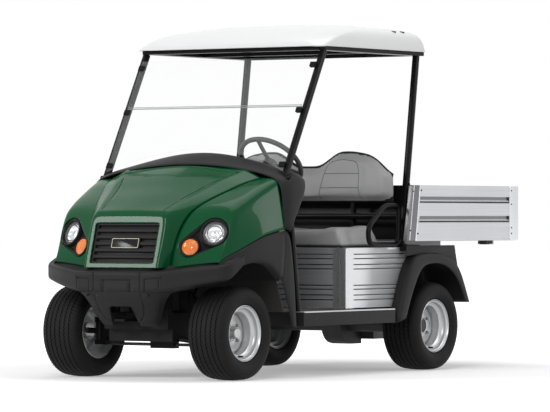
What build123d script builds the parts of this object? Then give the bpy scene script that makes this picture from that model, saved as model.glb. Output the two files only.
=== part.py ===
"""Turf utility vehicle: an open two-seat cart with a moulded front body, a canopy and a tipping cargo bed.

Frame: +X is the vehicle's left side, -Y is forward, +Z is up. The origin lies on the floor under the
middle of the vehicle's length and width. Lengths are in millimetres.
"""

from build123d import *
import math
import os

os.makedirs("parts", exist_ok=True)

# Driving dimensions of the whole vehicle
wheelbase = 1664
front_overhang = 338
rear_overhang = 784
overall_width = 1257
front_track = 876
rear_track = 978
tyre_diameter = 457
tyre_width = 216
overrun = 20
pin_gap = 0.1
seat_gap = 0.3
face_gap = 2
moving_gap = 8

overall_length = front_overhang + wheelbase + rear_overhang
nose_y = -overall_length / 2
tail_y = overall_length / 2
front_axle_y = nose_y + front_overhang
rear_axle_y = front_axle_y + wheelbase
tyre_radius = tyre_diameter / 2
hub_z = tyre_radius
half_width = overall_width / 2

# Heights of the main structure above the floor
frame_bottom_z = 245
frame_height = 80
floor_thickness = 8
seat_deck_z = 636
bed_floor_z = 667
bed_wall_height = 288
frame_top_z = frame_bottom_z + frame_height
floor_top_z = frame_top_z + floor_thickness


def write(part, name):
    """Labels one finished piece and writes it as parts/NAME.step."""
    part.label = name
    export_step(part, f"parts/{name}.step")


def side_plane(x):
    """Upright plane across the vehicle at x, with its own axes along +Y and +Z."""
    return Plane.YZ.offset(x)


def front_plane(y):
    """Upright plane facing forward at y, with its own axes along +X and +Z."""
    return Plane.XZ.offset(-y)


def floor_plane(z):
    """Level plane at height z, with its own axes along +X and +Y."""
    return Plane.XY.offset(z)


def box_between(low, high, mode=Mode.ADD):
    """Adds, or cuts, a plain block between two corners of the part that is being built."""
    size = [b - a for a, b in zip(low, high)]
    middle = tuple((a + b) / 2 for a, b in zip(low, high))
    with Locations(middle):
        Box(*size, mode=mode)


def rod_between(start, end, radius, mode=Mode.ADD):
    """Adds, or cuts, a round bar from one point to another."""
    axis = Vector(*end) - Vector(*start)
    with BuildSketch(Plane(origin=start, z_dir=axis), mode=Mode.PRIVATE) as disc:
        Circle(radius)
    extrude(disc.sketch, amount=axis.length, mode=mode)


def along(start, direction, distance):
    """The point at a distance from start along a direction."""
    return tuple(a + distance * b for a, b in zip(start, direction))


def outline_between(points, low_x, high_x, mode=Mode.ADD):
    """Adds, or cuts, a side outline of (y, z) points that runs across from low_x to high_x."""
    with BuildSketch(side_plane(low_x), mode=Mode.PRIVATE) as outline:
        with BuildLine():
            Polyline(*points, close=True)
        make_face()
    extrude(outline.sketch, amount=high_x - low_x, mode=mode)


def band(points, width):
    """Outline of a bar that follows side points (y, z), half its width to each side of them."""
    lefts, rights = [], []
    for index, (y, z) in enumerate(points):
        before = points[max(index - 1, 0)]
        after = points[min(index + 1, len(points) - 1)]
        run = math.hypot(after[0] - before[0], after[1] - before[1])
        side_y, side_z = (before[1] - after[1]) / run, (after[0] - before[0]) / run
        lefts.append((y + side_y * width / 2, z + side_z * width / 2))
        rights.append((y - side_y * width / 2, z - side_z * width / 2))
    return lefts + rights[::-1]


def sheet(rows, wall):
    """Moulded sheet of one wall thickness whose outer face runs through rows of points."""
    grid = [[Vector(*point) for point in row] for row in rows]
    last_row, last_column = len(grid) - 1, len(grid[0]) - 1
    inner = []
    for i, row in enumerate(grid):
        inner_row = []
        for j, point in enumerate(row):
            down = grid[min(i + 1, last_row)][j] - grid[max(i - 1, 0)][j]
            across = row[min(j + 1, last_column)] - row[max(j - 1, 0)]
            inner_row.append(point - down.cross(across).normalized() * wall)
        inner.append(inner_row)
    border = [(0, j) for j in range(last_column)] + [(i, last_column) for i in range(last_row)]
    border += [(last_row, j) for j in range(last_column, 0, -1)] + [(i, 0) for i in range(last_row, 0, -1)]
    quads = []
    for i in range(last_row):
        for j in range(last_column):
            for side in (grid, inner):
                quads.append((side[i][j], side[i][j + 1], side[i + 1][j + 1], side[i + 1][j]))
    for (i, j), (k, m) in zip(border, border[1:] + border[:1]):
        quads.append((grid[i][j], grid[k][m], inner[k][m], inner[i][j]))
    faces = []
    for first, second, third, fourth in quads:
        for corners in ((first, second, third), (first, third, fourth)):
            faces.append(Face(Wire.make_polygon(corners, close=True)))
    return Solid(Shell(faces))


def flipped(row):
    """The same row of points on the vehicle's other side."""
    return [(-x, y, z) for x, y, z in row]


def side_points(shares, first_y, length, low_z, height):
    """Side points (y, z) from their shares of a piece's length and height."""
    return [(first_y + a * length, low_z + b * height) for a, b in shares]


def front_points(shares):
    """Points (x, y, z) of the front body from their shares of its half width, length and height."""
    return [(a * half_width, nose_y + b * front_body_length, c * cowl_top_z) for a, b, c in shares]


# Front body: it runs back from the nose to the cowl, ahead of the cab
cowl_setback_length = 251.4
cowl_y = front_axle_y + cowl_setback_length
cowl_top_z = 1050
front_body_length = cowl_y - nose_y

# Tyres: fat turf tyres on ten-inch rims, open towards the rim
bead_radius = 127
rim_lip_radius = 137
bead_half_width = 78
tread_half_width = 86
shoulder_drop = 7
carcass_wall = 13
belly_radius = 178


def make_tyre(x, y):
    """One tyre, turned about its own axle line."""
    half = tyre_width / 2
    shoulder = tyre_radius - shoulder_drop
    bead_foot = bead_half_width - carcass_wall
    centre = (x, y, hub_z)
    with BuildPart() as tyre:
        with BuildSketch(Plane(origin=centre, x_dir=(1, 0, 0), z_dir=(0, -1, 0))):
            with BuildLine():
                ThreePointArc(
                    (-bead_half_width, rim_lip_radius), (-half, belly_radius), (-tread_half_width, shoulder)
                )
                ThreePointArc((-tread_half_width, shoulder), (0, tyre_radius), (tread_half_width, shoulder))
                ThreePointArc(
                    (tread_half_width, shoulder), (half, belly_radius), (bead_half_width, rim_lip_radius)
                )
                Line((bead_half_width, rim_lip_radius), (bead_half_width, bead_radius))
                Line((bead_half_width, bead_radius), (-bead_half_width, bead_radius))
                Line((-bead_half_width, bead_radius), (-bead_half_width, rim_lip_radius))
            make_face()
            offset(amount=-carcass_wall, mode=Mode.SUBTRACT)
            with Locations((0, bead_radius)):
                Rectangle(2 * bead_foot, 3 * carcass_wall, mode=Mode.SUBTRACT)
        revolve(axis=Axis(centre, (1, 0, 0)))
    return tyre.part


# Wheels: pressed steel rims with a dished centre, a bored hub and a cap
rim_half_width = 89
rim_wall = 3
well_radius = 106
well_half_width = 44
well_edge_half_width = 52
disc_offset = 13
disc_thickness = 5
hub_radius = 40
hub_length = 46
spindle_radius = 14
cap_radius = 26
cap_length = 36
rear_cap_length = 6
lug_circle_radius = 50.8
lug_radius = 8
lug_length = 14
lug_count = 4
# rim barrel sections: width share of the rim, radius
barrel_width_shares = (1, 0.94, 0.88)
barrel_radii = (rim_lip_radius, rim_lip_radius - rim_wall, bead_radius - seat_gap)


def make_rim(x, y, side, cap):
    """One rim: barrel, disc, hub, nuts and cap. side is +1 on the left of the vehicle, -1 on the right."""
    outer = [(share * rim_half_width, radius) for share, radius in zip(barrel_width_shares, barrel_radii)]
    outer += [(well_edge_half_width, bead_radius - seat_gap), (well_half_width, well_radius)]
    barrel = outer + [(-a, r) for a, r in reversed(outer)]
    inner = [(a, r - rim_wall) for a, r in reversed(barrel)]
    disc_x = x + side * disc_offset
    hub_back = disc_x - side * hub_length
    plane = Plane(origin=(x, y, hub_z), x_dir=(1, 0, 0), z_dir=(0, -1, 0))
    outward = Plane(origin=(disc_x, y, hub_z), z_dir=(side, 0, 0))
    inward = Plane(origin=(disc_x, y, hub_z), z_dir=(-side, 0, 0))
    with BuildPart() as rim:
        with BuildSketch(plane):
            with BuildLine():
                Polyline(*barrel, *inner, close=True)
            make_face()
        revolve(axis=Axis((x, y, hub_z), (1, 0, 0)))
        with BuildSketch(inward):
            Circle(well_radius - rim_wall / 2)
        extrude(amount=disc_thickness)
        with BuildSketch(inward):
            Circle(hub_radius)
        extrude(amount=hub_length)
        with BuildSketch(outward):
            Circle(cap_radius)
        extrude(amount=cap)
        with BuildSketch(outward):
            with PolarLocations(lug_circle_radius, lug_count, start_angle=45):
                RegularPolygon(lug_radius, 6)
        extrude(amount=lug_length)
        with BuildSketch(Plane(origin=(hub_back, y, hub_z), z_dir=(side, 0, 0))):
            Circle(spindle_radius + pin_gap)
        extrude(amount=hub_length, mode=Mode.SUBTRACT)
    return rim.part


wheel_places = (
    ("front_left", front_track / 2, front_axle_y, 1, cap_length),
    ("front_right", -front_track / 2, front_axle_y, -1, cap_length),
    ("rear_left", rear_track / 2, rear_axle_y, 1, rear_cap_length),
    ("rear_right", -rear_track / 2, rear_axle_y, -1, rear_cap_length),
)
for place, wheel_x, wheel_y, wheel_side, wheel_cap in wheel_places:
    write(make_tyre(wheel_x, wheel_y), f"tyre_{place}")
    write(make_rim(wheel_x, wheel_y, wheel_side, wheel_cap), f"rim_{place}")

# Front axle: kingpin carriers, lower arms, a transverse leaf spring and the steering knuckles
kingpin_inset_width = 93
kingpin_x = front_track / 2 - kingpin_inset_width
kingpin_radius = 10
sleeve_radius = 19
sleeve_height = 84
carrier_height = 24
carrier_depth = 34
carrier_inboard = 34
knuckle_gap = 1
steer_arm_length = 70
steer_arm_width = 22
steer_arm_thickness = 10
steer_arm_drop = 30
arm_radius = 11
arm_inner_x = 125
arm_spread = 95
arm_inner_z = 205
cross_half_width = 190
cross_depth = 130
cross_bottom_z = 185
hub_face_x = front_track / 2 + disc_offset - hub_length
spindle_tip_x = front_track / 2 + disc_offset - seat_gap
carrier_top = hub_z + sleeve_height / 2 + knuckle_gap
carrier_low = hub_z - sleeve_height / 2 - knuckle_gap


def make_knuckle():
    """Left knuckle: a sleeve that turns on the kingpin, the wheel's spindle and the steering arm."""
    arm_z = hub_z - steer_arm_drop
    with BuildPart() as knuckle:
        with BuildSketch(floor_plane(hub_z - sleeve_height / 2)):
            with Locations((kingpin_x, front_axle_y)):
                Circle(sleeve_radius)
        extrude(amount=sleeve_height)
        rod_between((kingpin_x, front_axle_y, hub_z), (spindle_tip_x, front_axle_y, hub_z), spindle_radius)
        box_between(
            (kingpin_x - steer_arm_width / 2, front_axle_y, arm_z - steer_arm_thickness),
            (kingpin_x + steer_arm_width / 2, front_axle_y + steer_arm_length, arm_z),
        )
        with BuildSketch(floor_plane(arm_z - steer_arm_thickness)):
            with Locations((kingpin_x, front_axle_y + steer_arm_length)):
                Circle(steer_arm_width / 2)
        extrude(amount=steer_arm_thickness)
        with BuildSketch(floor_plane(hub_z - sleeve_height / 2)):
            with Locations((kingpin_x, front_axle_y)):
                Circle(kingpin_radius + pin_gap)
        extrude(amount=sleeve_height, mode=Mode.SUBTRACT)
    return knuckle.part


left_knuckle = make_knuckle()
write(left_knuckle, "knuckle_left")
write(mirror(left_knuckle, about=Plane.YZ), "knuckle_right")

# The carrier holds the kingpin between two lugs and stands inboard of the wheel
with BuildPart() as suspension:
    rod_between((kingpin_x, front_axle_y, carrier_low), (kingpin_x, front_axle_y, carrier_top), kingpin_radius)
    lug_half = carrier_depth / 2
    for low_z in (carrier_low - carrier_height, carrier_top):
        box_between(
            (kingpin_x - sleeve_radius - carrier_inboard, front_axle_y - lug_half, low_z),
            (kingpin_x + sleeve_radius, front_axle_y + lug_half, low_z + carrier_height),
        )
    box_between(
        (kingpin_x - sleeve_radius - carrier_inboard, front_axle_y - lug_half, carrier_low - carrier_height),
        (kingpin_x - sleeve_radius - moving_gap, front_axle_y + lug_half, carrier_top + carrier_height),
    )
    arm_outer = (kingpin_x - sleeve_radius, front_axle_y, carrier_low - carrier_height / 2)
    for spread in (-arm_spread, arm_spread):
        rod_between(arm_outer, (arm_inner_x, front_axle_y + spread, arm_inner_z), arm_radius)
    mirror(about=Plane.YZ)
    box_between(
        (-cross_half_width, front_axle_y - cross_depth, cross_bottom_z),
        (cross_half_width, front_axle_y + cross_depth, frame_bottom_z),
    )
write(suspension.part, "front_suspension")

# Shock absorbers between the carriers and the frame rails
shock_radius = 14
shock_foot_inset_width = 49
shock_foot_x = kingpin_x - shock_foot_inset_width
shock_top_x = 205
shock_top_z = 420
bracket_half_depth = 20
rail_inner_x = 150
rail_outer_x = 190

with BuildPart() as front_shocks:
    foot_z = carrier_top + carrier_height
    rod_between((shock_foot_x, front_axle_y, foot_z), (shock_top_x, front_axle_y, shock_top_z), shock_radius)
    box_between(
        (rail_inner_x, front_axle_y - bracket_half_depth, frame_top_z),
        (shock_top_x, front_axle_y + bracket_half_depth, shock_top_z + shock_radius),
    )
    with BuildSketch(floor_plane(foot_z - overrun)):
        with Locations((shock_foot_x, front_axle_y)):
            Rectangle(4 * shock_radius, 4 * shock_radius)
    extrude(amount=overrun, mode=Mode.SUBTRACT)
    mirror(about=Plane.YZ)
write(front_shocks.part, "front_shocks")

# Steering gear: a rack that slides across the vehicle in a housing, with a track rod on each end
rack_z = 164
rack_radius = 8
rack_y = front_axle_y + steer_arm_length
housing_half_length = 70
housing_half_depth = 24
housing_bottom_z = 146
eye_radius = 14
eye_bottom_z = 156
eye_top_z = 183

with BuildPart() as steering_rack:
    rod_between((-kingpin_x, rack_y, rack_z), (kingpin_x, rack_y, rack_z), rack_radius)
    with BuildSketch(floor_plane(eye_bottom_z)):
        with Locations((-kingpin_x, rack_y), (kingpin_x, rack_y)):
            Circle(eye_radius)
    extrude(amount=eye_top_z - eye_bottom_z)
write(steering_rack.part, "steering_rack")

with BuildPart() as steering_gear:
    box_between(
        (-housing_half_length, rack_y - housing_half_depth, housing_bottom_z),
        (housing_half_length, rack_y + housing_half_depth, cross_bottom_z),
    )
    rod_between(
        (-housing_half_length - overrun, rack_y, rack_z),
        (housing_half_length + overrun, rack_y, rack_z),
        rack_radius + pin_gap,
        Mode.SUBTRACT,
    )
write(steering_gear.part, "steering_gear")

# Frame: two rails that step up over the rear axle, joined by cross members
rail_front_setback_length = 168
rail_front_y = nose_y + rail_front_setback_length
step_start_offset_length = -309
step_start_y = rear_axle_y + step_start_offset_length
step_end_offset_length = -179
step_end_y = rear_axle_y + step_end_offset_length
rail_rear_setback_length = 213
rail_rear_y = tail_y - rail_rear_setback_length
rear_rail_bottom_z = 330
cross_member_depth = 40
front_cross_setback_length = 495
middle_cross_setback_length = 459
cross_member_places = (
    rail_front_y + cross_member_depth / 2,
    front_axle_y + front_cross_setback_length,
    rear_axle_y - middle_cross_setback_length,
    rail_rear_y - cross_member_depth / 2,
)
rear_rail_top_z = rear_rail_bottom_z + frame_height
step_lag = 30
rail_outline = (
    (rail_front_y, frame_bottom_z),
    (step_start_y + step_lag, frame_bottom_z),
    (step_end_y, rear_rail_bottom_z),
    (rail_rear_y, rear_rail_bottom_z),
    (rail_rear_y, rear_rail_top_z),
    (step_end_y - step_lag, rear_rail_top_z),
    (step_start_y, frame_top_z),
    (rail_front_y, frame_top_z),
)
bumper_beam_half = 200
bumper_beam_setback_length = 11.2
bumper_beam_y = nose_y + bumper_beam_setback_length
bumper_arm_setback_length = 48
bumper_arm_y = nose_y + bumper_arm_setback_length
beam_low_z = 440
beam_high_z = 465
bumper_arm_outline = (
    (bumper_arm_y - face_gap, beam_low_z),
    (bumper_arm_y - face_gap, beam_high_z),
    (rail_front_y + cross_member_depth, beam_high_z),
    (rail_front_y + cross_member_depth, frame_top_z),
    (rail_front_y, frame_top_z),
    (rail_front_y, beam_low_z),
)
eye_plate_half_width = 30
eye_plate_thickness = 12
eye_plate_front_setback_length = 31
eye_plate_front_y = nose_y + eye_plate_front_setback_length
tow_eye_radius = 12
hitch_rear_setback_length = 103
hitch_rear_y = tail_y - hitch_rear_setback_length
hitch_half_width = 45
hitch_bore_radius = 10

with BuildPart() as frame_rails:
    outline_between(rail_outline, rail_inner_x, rail_outer_x)
    mirror(about=Plane.YZ)
write(frame_rails.part, "frame_rails")

with BuildPart() as bumper_arms:
    box_between((-bumper_beam_half, bumper_beam_y, beam_low_z), (bumper_beam_half, bumper_arm_y, beam_high_z))
    for low_x in (rail_inner_x, -rail_outer_x):
        outline_between(bumper_arm_outline, low_x, low_x + rail_outer_x - rail_inner_x)
write(bumper_arms.part, "bumper_arms")

with BuildPart() as cross_members:
    for place in cross_member_places:
        low_z = rear_rail_bottom_z if place > step_end_y else frame_bottom_z
        box_between(
            (-rail_inner_x, place - cross_member_depth / 2, low_z),
            (rail_inner_x, place + cross_member_depth / 2, low_z + frame_height),
        )
write(cross_members.part, "cross_members")

# Tow plates: a drilled eye at the front and a drilled hitch plate at the rear
with BuildPart() as tow_plates:
    eye_low = (frame_bottom_z + frame_top_z) / 2
    front_cross_y = cross_member_places[0] - cross_member_depth / 2
    box_between(
        (-eye_plate_half_width, eye_plate_front_y, eye_low),
        (eye_plate_half_width, front_cross_y, eye_low + eye_plate_thickness),
    )
    with BuildSketch(floor_plane(eye_low)):
        with Locations((0, eye_plate_front_y + eye_plate_half_width)):
            Circle(tow_eye_radius)
    extrude(amount=eye_plate_thickness, mode=Mode.SUBTRACT)
    rear_cross_y = cross_member_places[-1] + cross_member_depth / 2
    box_between(
        (-hitch_half_width, rear_cross_y, rear_rail_bottom_z),
        (hitch_half_width, hitch_rear_y, rear_rail_bottom_z + eye_plate_thickness),
    )
    with BuildSketch(floor_plane(rear_rail_bottom_z)):
        with Locations((0, hitch_rear_y - hitch_half_width)):
            Circle(hitch_bore_radius)
    extrude(amount=eye_plate_thickness, mode=Mode.SUBTRACT)
write(tow_plates.part, "tow_plates")

# Rear axle: a drive case on the axle line, two tubes with spindles, leaf springs, and the engine behind it
axle_tube_radius = 36
axle_tube_inset_width = 41
axle_tube_end_x = rear_track / 2 - axle_tube_inset_width
case_radius = 100
case_half_width = 60
case_rear_offset_length = 103
case_rear_y = rear_axle_y + case_rear_offset_length
case_bottom_z = 126
spring_thickness = 18
spring_eye_height = 318
spring_reach = 270
spring_bend = 190
engine_half_width = 135
engine_front_offset_length = 103
engine_front_y = rear_axle_y + engine_front_offset_length
engine_rear_offset_length = 326
engine_rear_y = rear_axle_y + engine_rear_offset_length
engine_bottom_z = 150
engine_top_z = 460
engine_lug_z = 425
rear_spindle_tip_x = rear_track / 2 + disc_offset - seat_gap

with BuildPart() as rear_axle:
    tip = rear_spindle_tip_x
    rod_between((-tip, rear_axle_y, hub_z), (tip, rear_axle_y, hub_z), spindle_radius)
    tube = axle_tube_end_x
    rod_between((-tube, rear_axle_y, hub_z), (tube, rear_axle_y, hub_z), axle_tube_radius)
    case = case_half_width
    rod_between((-case, rear_axle_y, hub_z), (case, rear_axle_y, hub_z), case_radius)
    box_between((-case, rear_axle_y, case_bottom_z), (case, case_rear_y, hub_z + axle_tube_radius))
write(rear_axle.part, "rear_axle")

with BuildPart() as rear_springs:
    spring_low_z = hub_z + axle_tube_radius + spring_thickness / 2
    spring_line = (
        (rear_axle_y - spring_reach, spring_eye_height),
        (rear_axle_y - spring_bend, spring_low_z + spring_thickness),
        (rear_axle_y, spring_low_z),
        (rear_axle_y + spring_bend, spring_low_z + spring_thickness),
        (rear_axle_y + spring_reach, spring_eye_height),
    )
    outline_between(band(spring_line, spring_thickness), rail_inner_x, rail_outer_x)
    for end_y in (rear_axle_y - spring_reach, rear_axle_y + spring_reach):
        box_between(
            (rail_inner_x, end_y - spring_thickness, spring_eye_height - spring_thickness / 2),
            (rail_outer_x, end_y + spring_thickness, rear_rail_bottom_z),
        )
    outline_between(rail_outline, rail_inner_x, rail_outer_x, Mode.SUBTRACT)
    mirror(about=Plane.YZ)
write(rear_springs.part, "rear_springs")

with BuildPart() as engine_block:
    box_between(
        (-engine_half_width, engine_front_y, engine_bottom_z), (engine_half_width, engine_rear_y, engine_top_z)
    )
    box_between(
        (-rail_outer_x, engine_front_y + overrun, rear_rail_top_z),
        (rail_outer_x, engine_rear_y - overrun, engine_lug_z),
    )
write(engine_block.part, "engine_block")

# Steering wheel: a three-spoke wheel on a shaft, on a fixed column with a lower shaft
wheel_centre_x = 280
wheel_centre_setback_length = 590
wheel_centre_z = 1065
wheel_centre = (wheel_centre_x, front_axle_y + wheel_centre_setback_length, wheel_centre_z)
steer_axis = (0, 0.695, 0.719)
wheel_ring_radius = 162
wheel_grip_radius = 13
wheel_hub_radius = 38
wheel_hub_depth = 44
spoke_width = 24
spoke_thickness = 7
spoke_count = 3
shaft_radius = 11
shaft_length = 150
jacket_radius = 26
jacket_start = 60
jacket_length = 470
jacket_hole = jacket_radius + seat_gap
lower_shaft_x = 55
lower_shaft_foot = (lower_shaft_x, rack_y, frame_bottom_z)
foot_block = 60

with BuildPart() as steering_wheel:
    steer_plane = Plane(origin=wheel_centre, x_dir=(1, 0, 0), z_dir=steer_axis)
    with BuildSketch(Plane(origin=wheel_centre, x_dir=(1, 0, 0), z_dir=steer_plane.y_dir * -1)):
        with Locations((wheel_ring_radius, 0)):
            Circle(wheel_grip_radius)
    revolve(axis=Axis(wheel_centre, steer_axis))
    with BuildSketch(steer_plane.offset(-wheel_hub_depth)):
        Circle(wheel_hub_radius)
    extrude(amount=wheel_hub_depth)
    with BuildSketch(steer_plane.offset(-spoke_thickness)):
        with PolarLocations(wheel_ring_radius / 2, spoke_count, start_angle=-90):
            Rectangle(wheel_ring_radius, spoke_width)
    extrude(amount=spoke_thickness)
    rod_between(wheel_centre, along(wheel_centre, steer_axis, -shaft_length), shaft_radius)
write(steering_wheel.part, "steering_wheel")

with BuildPart() as steering_column:
    jacket_end = along(wheel_centre, steer_axis, -jacket_length)
    rod_between(along(wheel_centre, steer_axis, -jacket_start), jacket_end, jacket_radius)
    rod_between(
        along(wheel_centre, steer_axis, overrun - jacket_start),
        along(wheel_centre, steer_axis, -shaft_length - moving_gap),
        shaft_radius + pin_gap,
        Mode.SUBTRACT,
    )
    rod_between(jacket_end, lower_shaft_foot, shaft_radius)
    box_between(
        along(lower_shaft_foot, (-1, -1, -1), foot_block),
        (lower_shaft_foot[0] + foot_block, lower_shaft_foot[1] + foot_block, frame_bottom_z),
        Mode.SUBTRACT,
    )
write(steering_column.part, "steering_column")

# Cab floor with a toe board and a fire wall that rises under the dashboard
floor_inset_width = 93.5
floor_half_width = half_width - floor_inset_width
floor_front_setback_length = 320
floor_front_y = front_axle_y + floor_front_setback_length
floor_rear_offset_length = -787
floor_rear_y = rear_axle_y + floor_rear_offset_length
toe_setback_length = 255
toe_y = front_axle_y + toe_setback_length
toe_z = 480
fire_wall_top_z = 945
fire_wall_inset_width = 78.5
fire_wall_half_width = half_width - fire_wall_inset_width
fire_wall_thickness = 5
rocker_inner_inset_width = 83.5
rocker_inner_x = half_width - rocker_inner_inset_width
rocker_outer_inset_width = 17.5
rocker_outer_x = half_width - rocker_outer_inset_width
rocker_front_setback_length = 389
rocker_front_y = front_axle_y + rocker_front_setback_length
rocker_rear_offset_length = -434
rocker_rear_y = rear_axle_y + rocker_rear_offset_length
rocker_bottom_z = 255
rocker_top_z = 327

with BuildPart() as floor_pan:
    wall = fire_wall_thickness
    floor_outline = (
        (floor_rear_y, frame_top_z),
        (floor_front_y, frame_top_z),
        (toe_y, toe_z),
        (toe_y, fire_wall_top_z),
        (toe_y + wall, fire_wall_top_z),
        (toe_y + wall, toe_z),
        (floor_front_y + wall, floor_top_z),
        (floor_rear_y, floor_top_z),
    )
    outline_between(floor_outline, -floor_half_width, floor_half_width)
    box_between(
        (-fire_wall_half_width, toe_y, toe_z),
        (fire_wall_half_width, toe_y + wall, fire_wall_top_z),
    )
    rod_between(wheel_centre, along(wheel_centre, steer_axis, -2 * jacket_length), jacket_hole, Mode.SUBTRACT)
    rod_between(jacket_end, lower_shaft_foot, shaft_radius + seat_gap, Mode.SUBTRACT)
write(floor_pan.part, "floor_pan")

with BuildPart() as rockers:
    box_between(
        (floor_half_width, rocker_front_y, rocker_bottom_z), (rocker_outer_x, rocker_rear_y, rocker_top_z)
    )
    mirror(about=Plane.YZ)
write(rockers.part, "rockers")

# Seat base: a ribbed front panel, two side panels and a deck with a service opening
seat_inset_width = 68.5
seat_half_width = half_width - seat_inset_width
seat_front_offset_length = -799
seat_front_y = rear_axle_y + seat_front_offset_length
seat_rear_offset_length = -332
seat_rear_y = rear_axle_y + seat_rear_offset_length
panel_wall = 4
deck_margin = 90
seat_foot_inset_length = 74
seat_kick_inset_length = 15
seat_kick_z = 480
seat_step_z = 540
seat_side_outline = (
    (seat_front_y, floor_top_z),
    (seat_rear_y - seat_foot_inset_length, floor_top_z),
    (seat_rear_y - seat_kick_inset_length, seat_kick_z),
    (seat_rear_y, seat_step_z),
    (seat_rear_y, seat_deck_z),
    (seat_front_y, seat_deck_z),
)

rib_height_shares = (0.1293, 0.2082, 0.3091, 0.3722, 0.6309, 0.7035, 0.8107, 0.8896)
rib_groove_height = 6
rib_depth = 2
rib_end_inset_width = 90
rib_rear_inset_length = 110

with BuildPart() as seat_base:
    box_between(
        (-seat_half_width, seat_front_y, floor_top_z), (seat_half_width, seat_front_y + panel_wall, seat_deck_z)
    )
    box_between(
        (-seat_half_width, seat_front_y, seat_deck_z - panel_wall), (seat_half_width, seat_rear_y, seat_deck_z)
    )
    box_between(
        (-seat_half_width + deck_margin, seat_front_y + deck_margin, seat_deck_z - overrun),
        (seat_half_width - deck_margin, seat_rear_y - deck_margin, seat_deck_z + overrun),
        Mode.SUBTRACT,
    )
    outline_between(seat_side_outline, seat_half_width - panel_wall, seat_half_width)
    outline_between(seat_side_outline, -seat_half_width, panel_wall - seat_half_width)
    rib_end_x = seat_half_width - rib_end_inset_width
    for share in rib_height_shares:
        low_z = floor_top_z + share * (seat_deck_z - floor_top_z)
        high_z = low_z + rib_groove_height
        box_between(
            (-rib_end_x, seat_front_y - overrun, low_z),
            (rib_end_x, seat_front_y + rib_depth, high_z),
            Mode.SUBTRACT,
        )
        for low_x in (-seat_half_width - overrun, seat_half_width - rib_depth):
            box_between(
                (low_x, seat_front_y + rib_end_inset_width, low_z),
                (low_x + overrun + rib_depth, seat_rear_y - rib_rear_inset_length, high_z),
                Mode.SUBTRACT,
            )
write(seat_base.part, "seat_base")

# Seat: a cushion that lifts about its rear edge, and a fixed back with two humps
cushion_inset_width = 108.5
cushion_half_width = half_width - cushion_inset_width
cushion_front_offset_length = -772
cushion_front_y = rear_axle_y + cushion_front_offset_length
cushion_rear_offset_length = -369
cushion_rear_y = rear_axle_y + cushion_rear_offset_length
cushion_bottom_z = 636.4
cushion_top_z = 758
cushion_round = 28
seat_hinge_offset_length = -361
seat_hinge_y = rear_axle_y + seat_hinge_offset_length
seat_hinge_z = 646
seat_hinge_radius = 5
seat_hinge_x = 300
seat_hinge_half_length = 30
back_front_offset_length = -366
back_front_y = rear_axle_y + back_front_offset_length
back_rear_offset_length = -296
back_rear_y = rear_axle_y + back_rear_offset_length
back_inset_width = 83.5
back_half_width = half_width - back_inset_width
back_bottom_z = 852
back_height = 293
# Half the back's outline from the middle out: shares of its half width and height
back_outline_shares = (
    (0, 0.7099), (0.2018, 0.8191), (0.367, 0.9556), (0.5321, 1), (0.6972, 0.9556),
    (0.8624, 0.7952), (0.9725, 0.6075), (1, 0.4369), (1, 0.1297), (0.9541, 0),
)
bar_offset_length = -312
bar_y = rear_axle_y + bar_offset_length
bar_z = 796
bar_radius = 16
upright_x = 260
upright_half_width = 16
upright_rear_offset_length = -269
upright_rear_y = rear_axle_y + upright_rear_offset_length
upright_top_z = 1010
beam_front_offset_length = -309
beam_front_y = rear_axle_y + beam_front_offset_length
beam_rear_offset_length = -169
beam_rear_y = rear_axle_y + beam_rear_offset_length
beam_bottom_z = 616
beam_top_z = 650
beam_inset_width = 36.5
beam_half_width = half_width - beam_inset_width

with BuildPart() as seat_bottom:
    box_between(
        (-cushion_half_width, cushion_front_y, cushion_bottom_z),
        (cushion_half_width, cushion_rear_y, cushion_top_z),
    )
    fillet(seat_bottom.edges().group_by(Axis.Z)[-1], cushion_round)
    for centre_x in (-seat_hinge_x, seat_hinge_x):
        rod_between(
            (centre_x - seat_hinge_half_length, seat_hinge_y, seat_hinge_z),
            (centre_x + seat_hinge_half_length, seat_hinge_y, seat_hinge_z),
            seat_hinge_radius,
        )
        box_between(
            (centre_x - seat_hinge_half_length, cushion_rear_y - panel_wall, seat_hinge_z - panel_wall / 2),
            (centre_x + seat_hinge_half_length, seat_hinge_y, seat_hinge_z + panel_wall / 2),
        )
write(seat_bottom.part, "seat_bottom")

with BuildPart() as seat_back:
    with BuildSketch(front_plane(back_rear_y)):
        with BuildLine():
            half_outline = side_points(back_outline_shares, 0, back_half_width, back_bottom_z, back_height)
            other_half = [(-x, z) for x, z in half_outline[:0:-1]]
            Polyline(*half_outline, *other_half, close=True)
        make_face()
    extrude(amount=back_rear_y - back_front_y)
write(seat_back.part, "seat_back")

with BuildPart() as seat_back_frame:
    rod_between((-back_half_width, bar_y, bar_z), (back_half_width, bar_y, bar_z), bar_radius)
    for centre_x in (-upright_x, upright_x):
        box_between(
            (centre_x - upright_half_width, back_rear_y, beam_top_z),
            (centre_x + upright_half_width, upright_rear_y, upright_top_z),
        )
        box_between(
            (centre_x - upright_half_width, bar_y, bar_z - bar_radius / 2),
            (centre_x + upright_half_width, back_rear_y, bar_z + bar_radius / 2),
        )
write(seat_back_frame.part, "seat_back_frame")

# Hip restraints: bent tube loops beside the seat
loop_inset_width = 82.5
loop_x = half_width - loop_inset_width
loop_thickness = 28
loop_round = 45
loop_front_offset_length = -627
loop_front_y = rear_axle_y + loop_front_offset_length
loop_length = 318
loop_height = 228
loop_outline_shares = (
    (0, 0.7193), (0.0377, 0.0614), (0.2642, 0), (0.9686, 0),
    (1, 0.9386), (0.5755, 1), (0.1321, 0.8772),
)
loop_outline = side_points(loop_outline_shares, loop_front_y, loop_length, seat_deck_z, loop_height)

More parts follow.
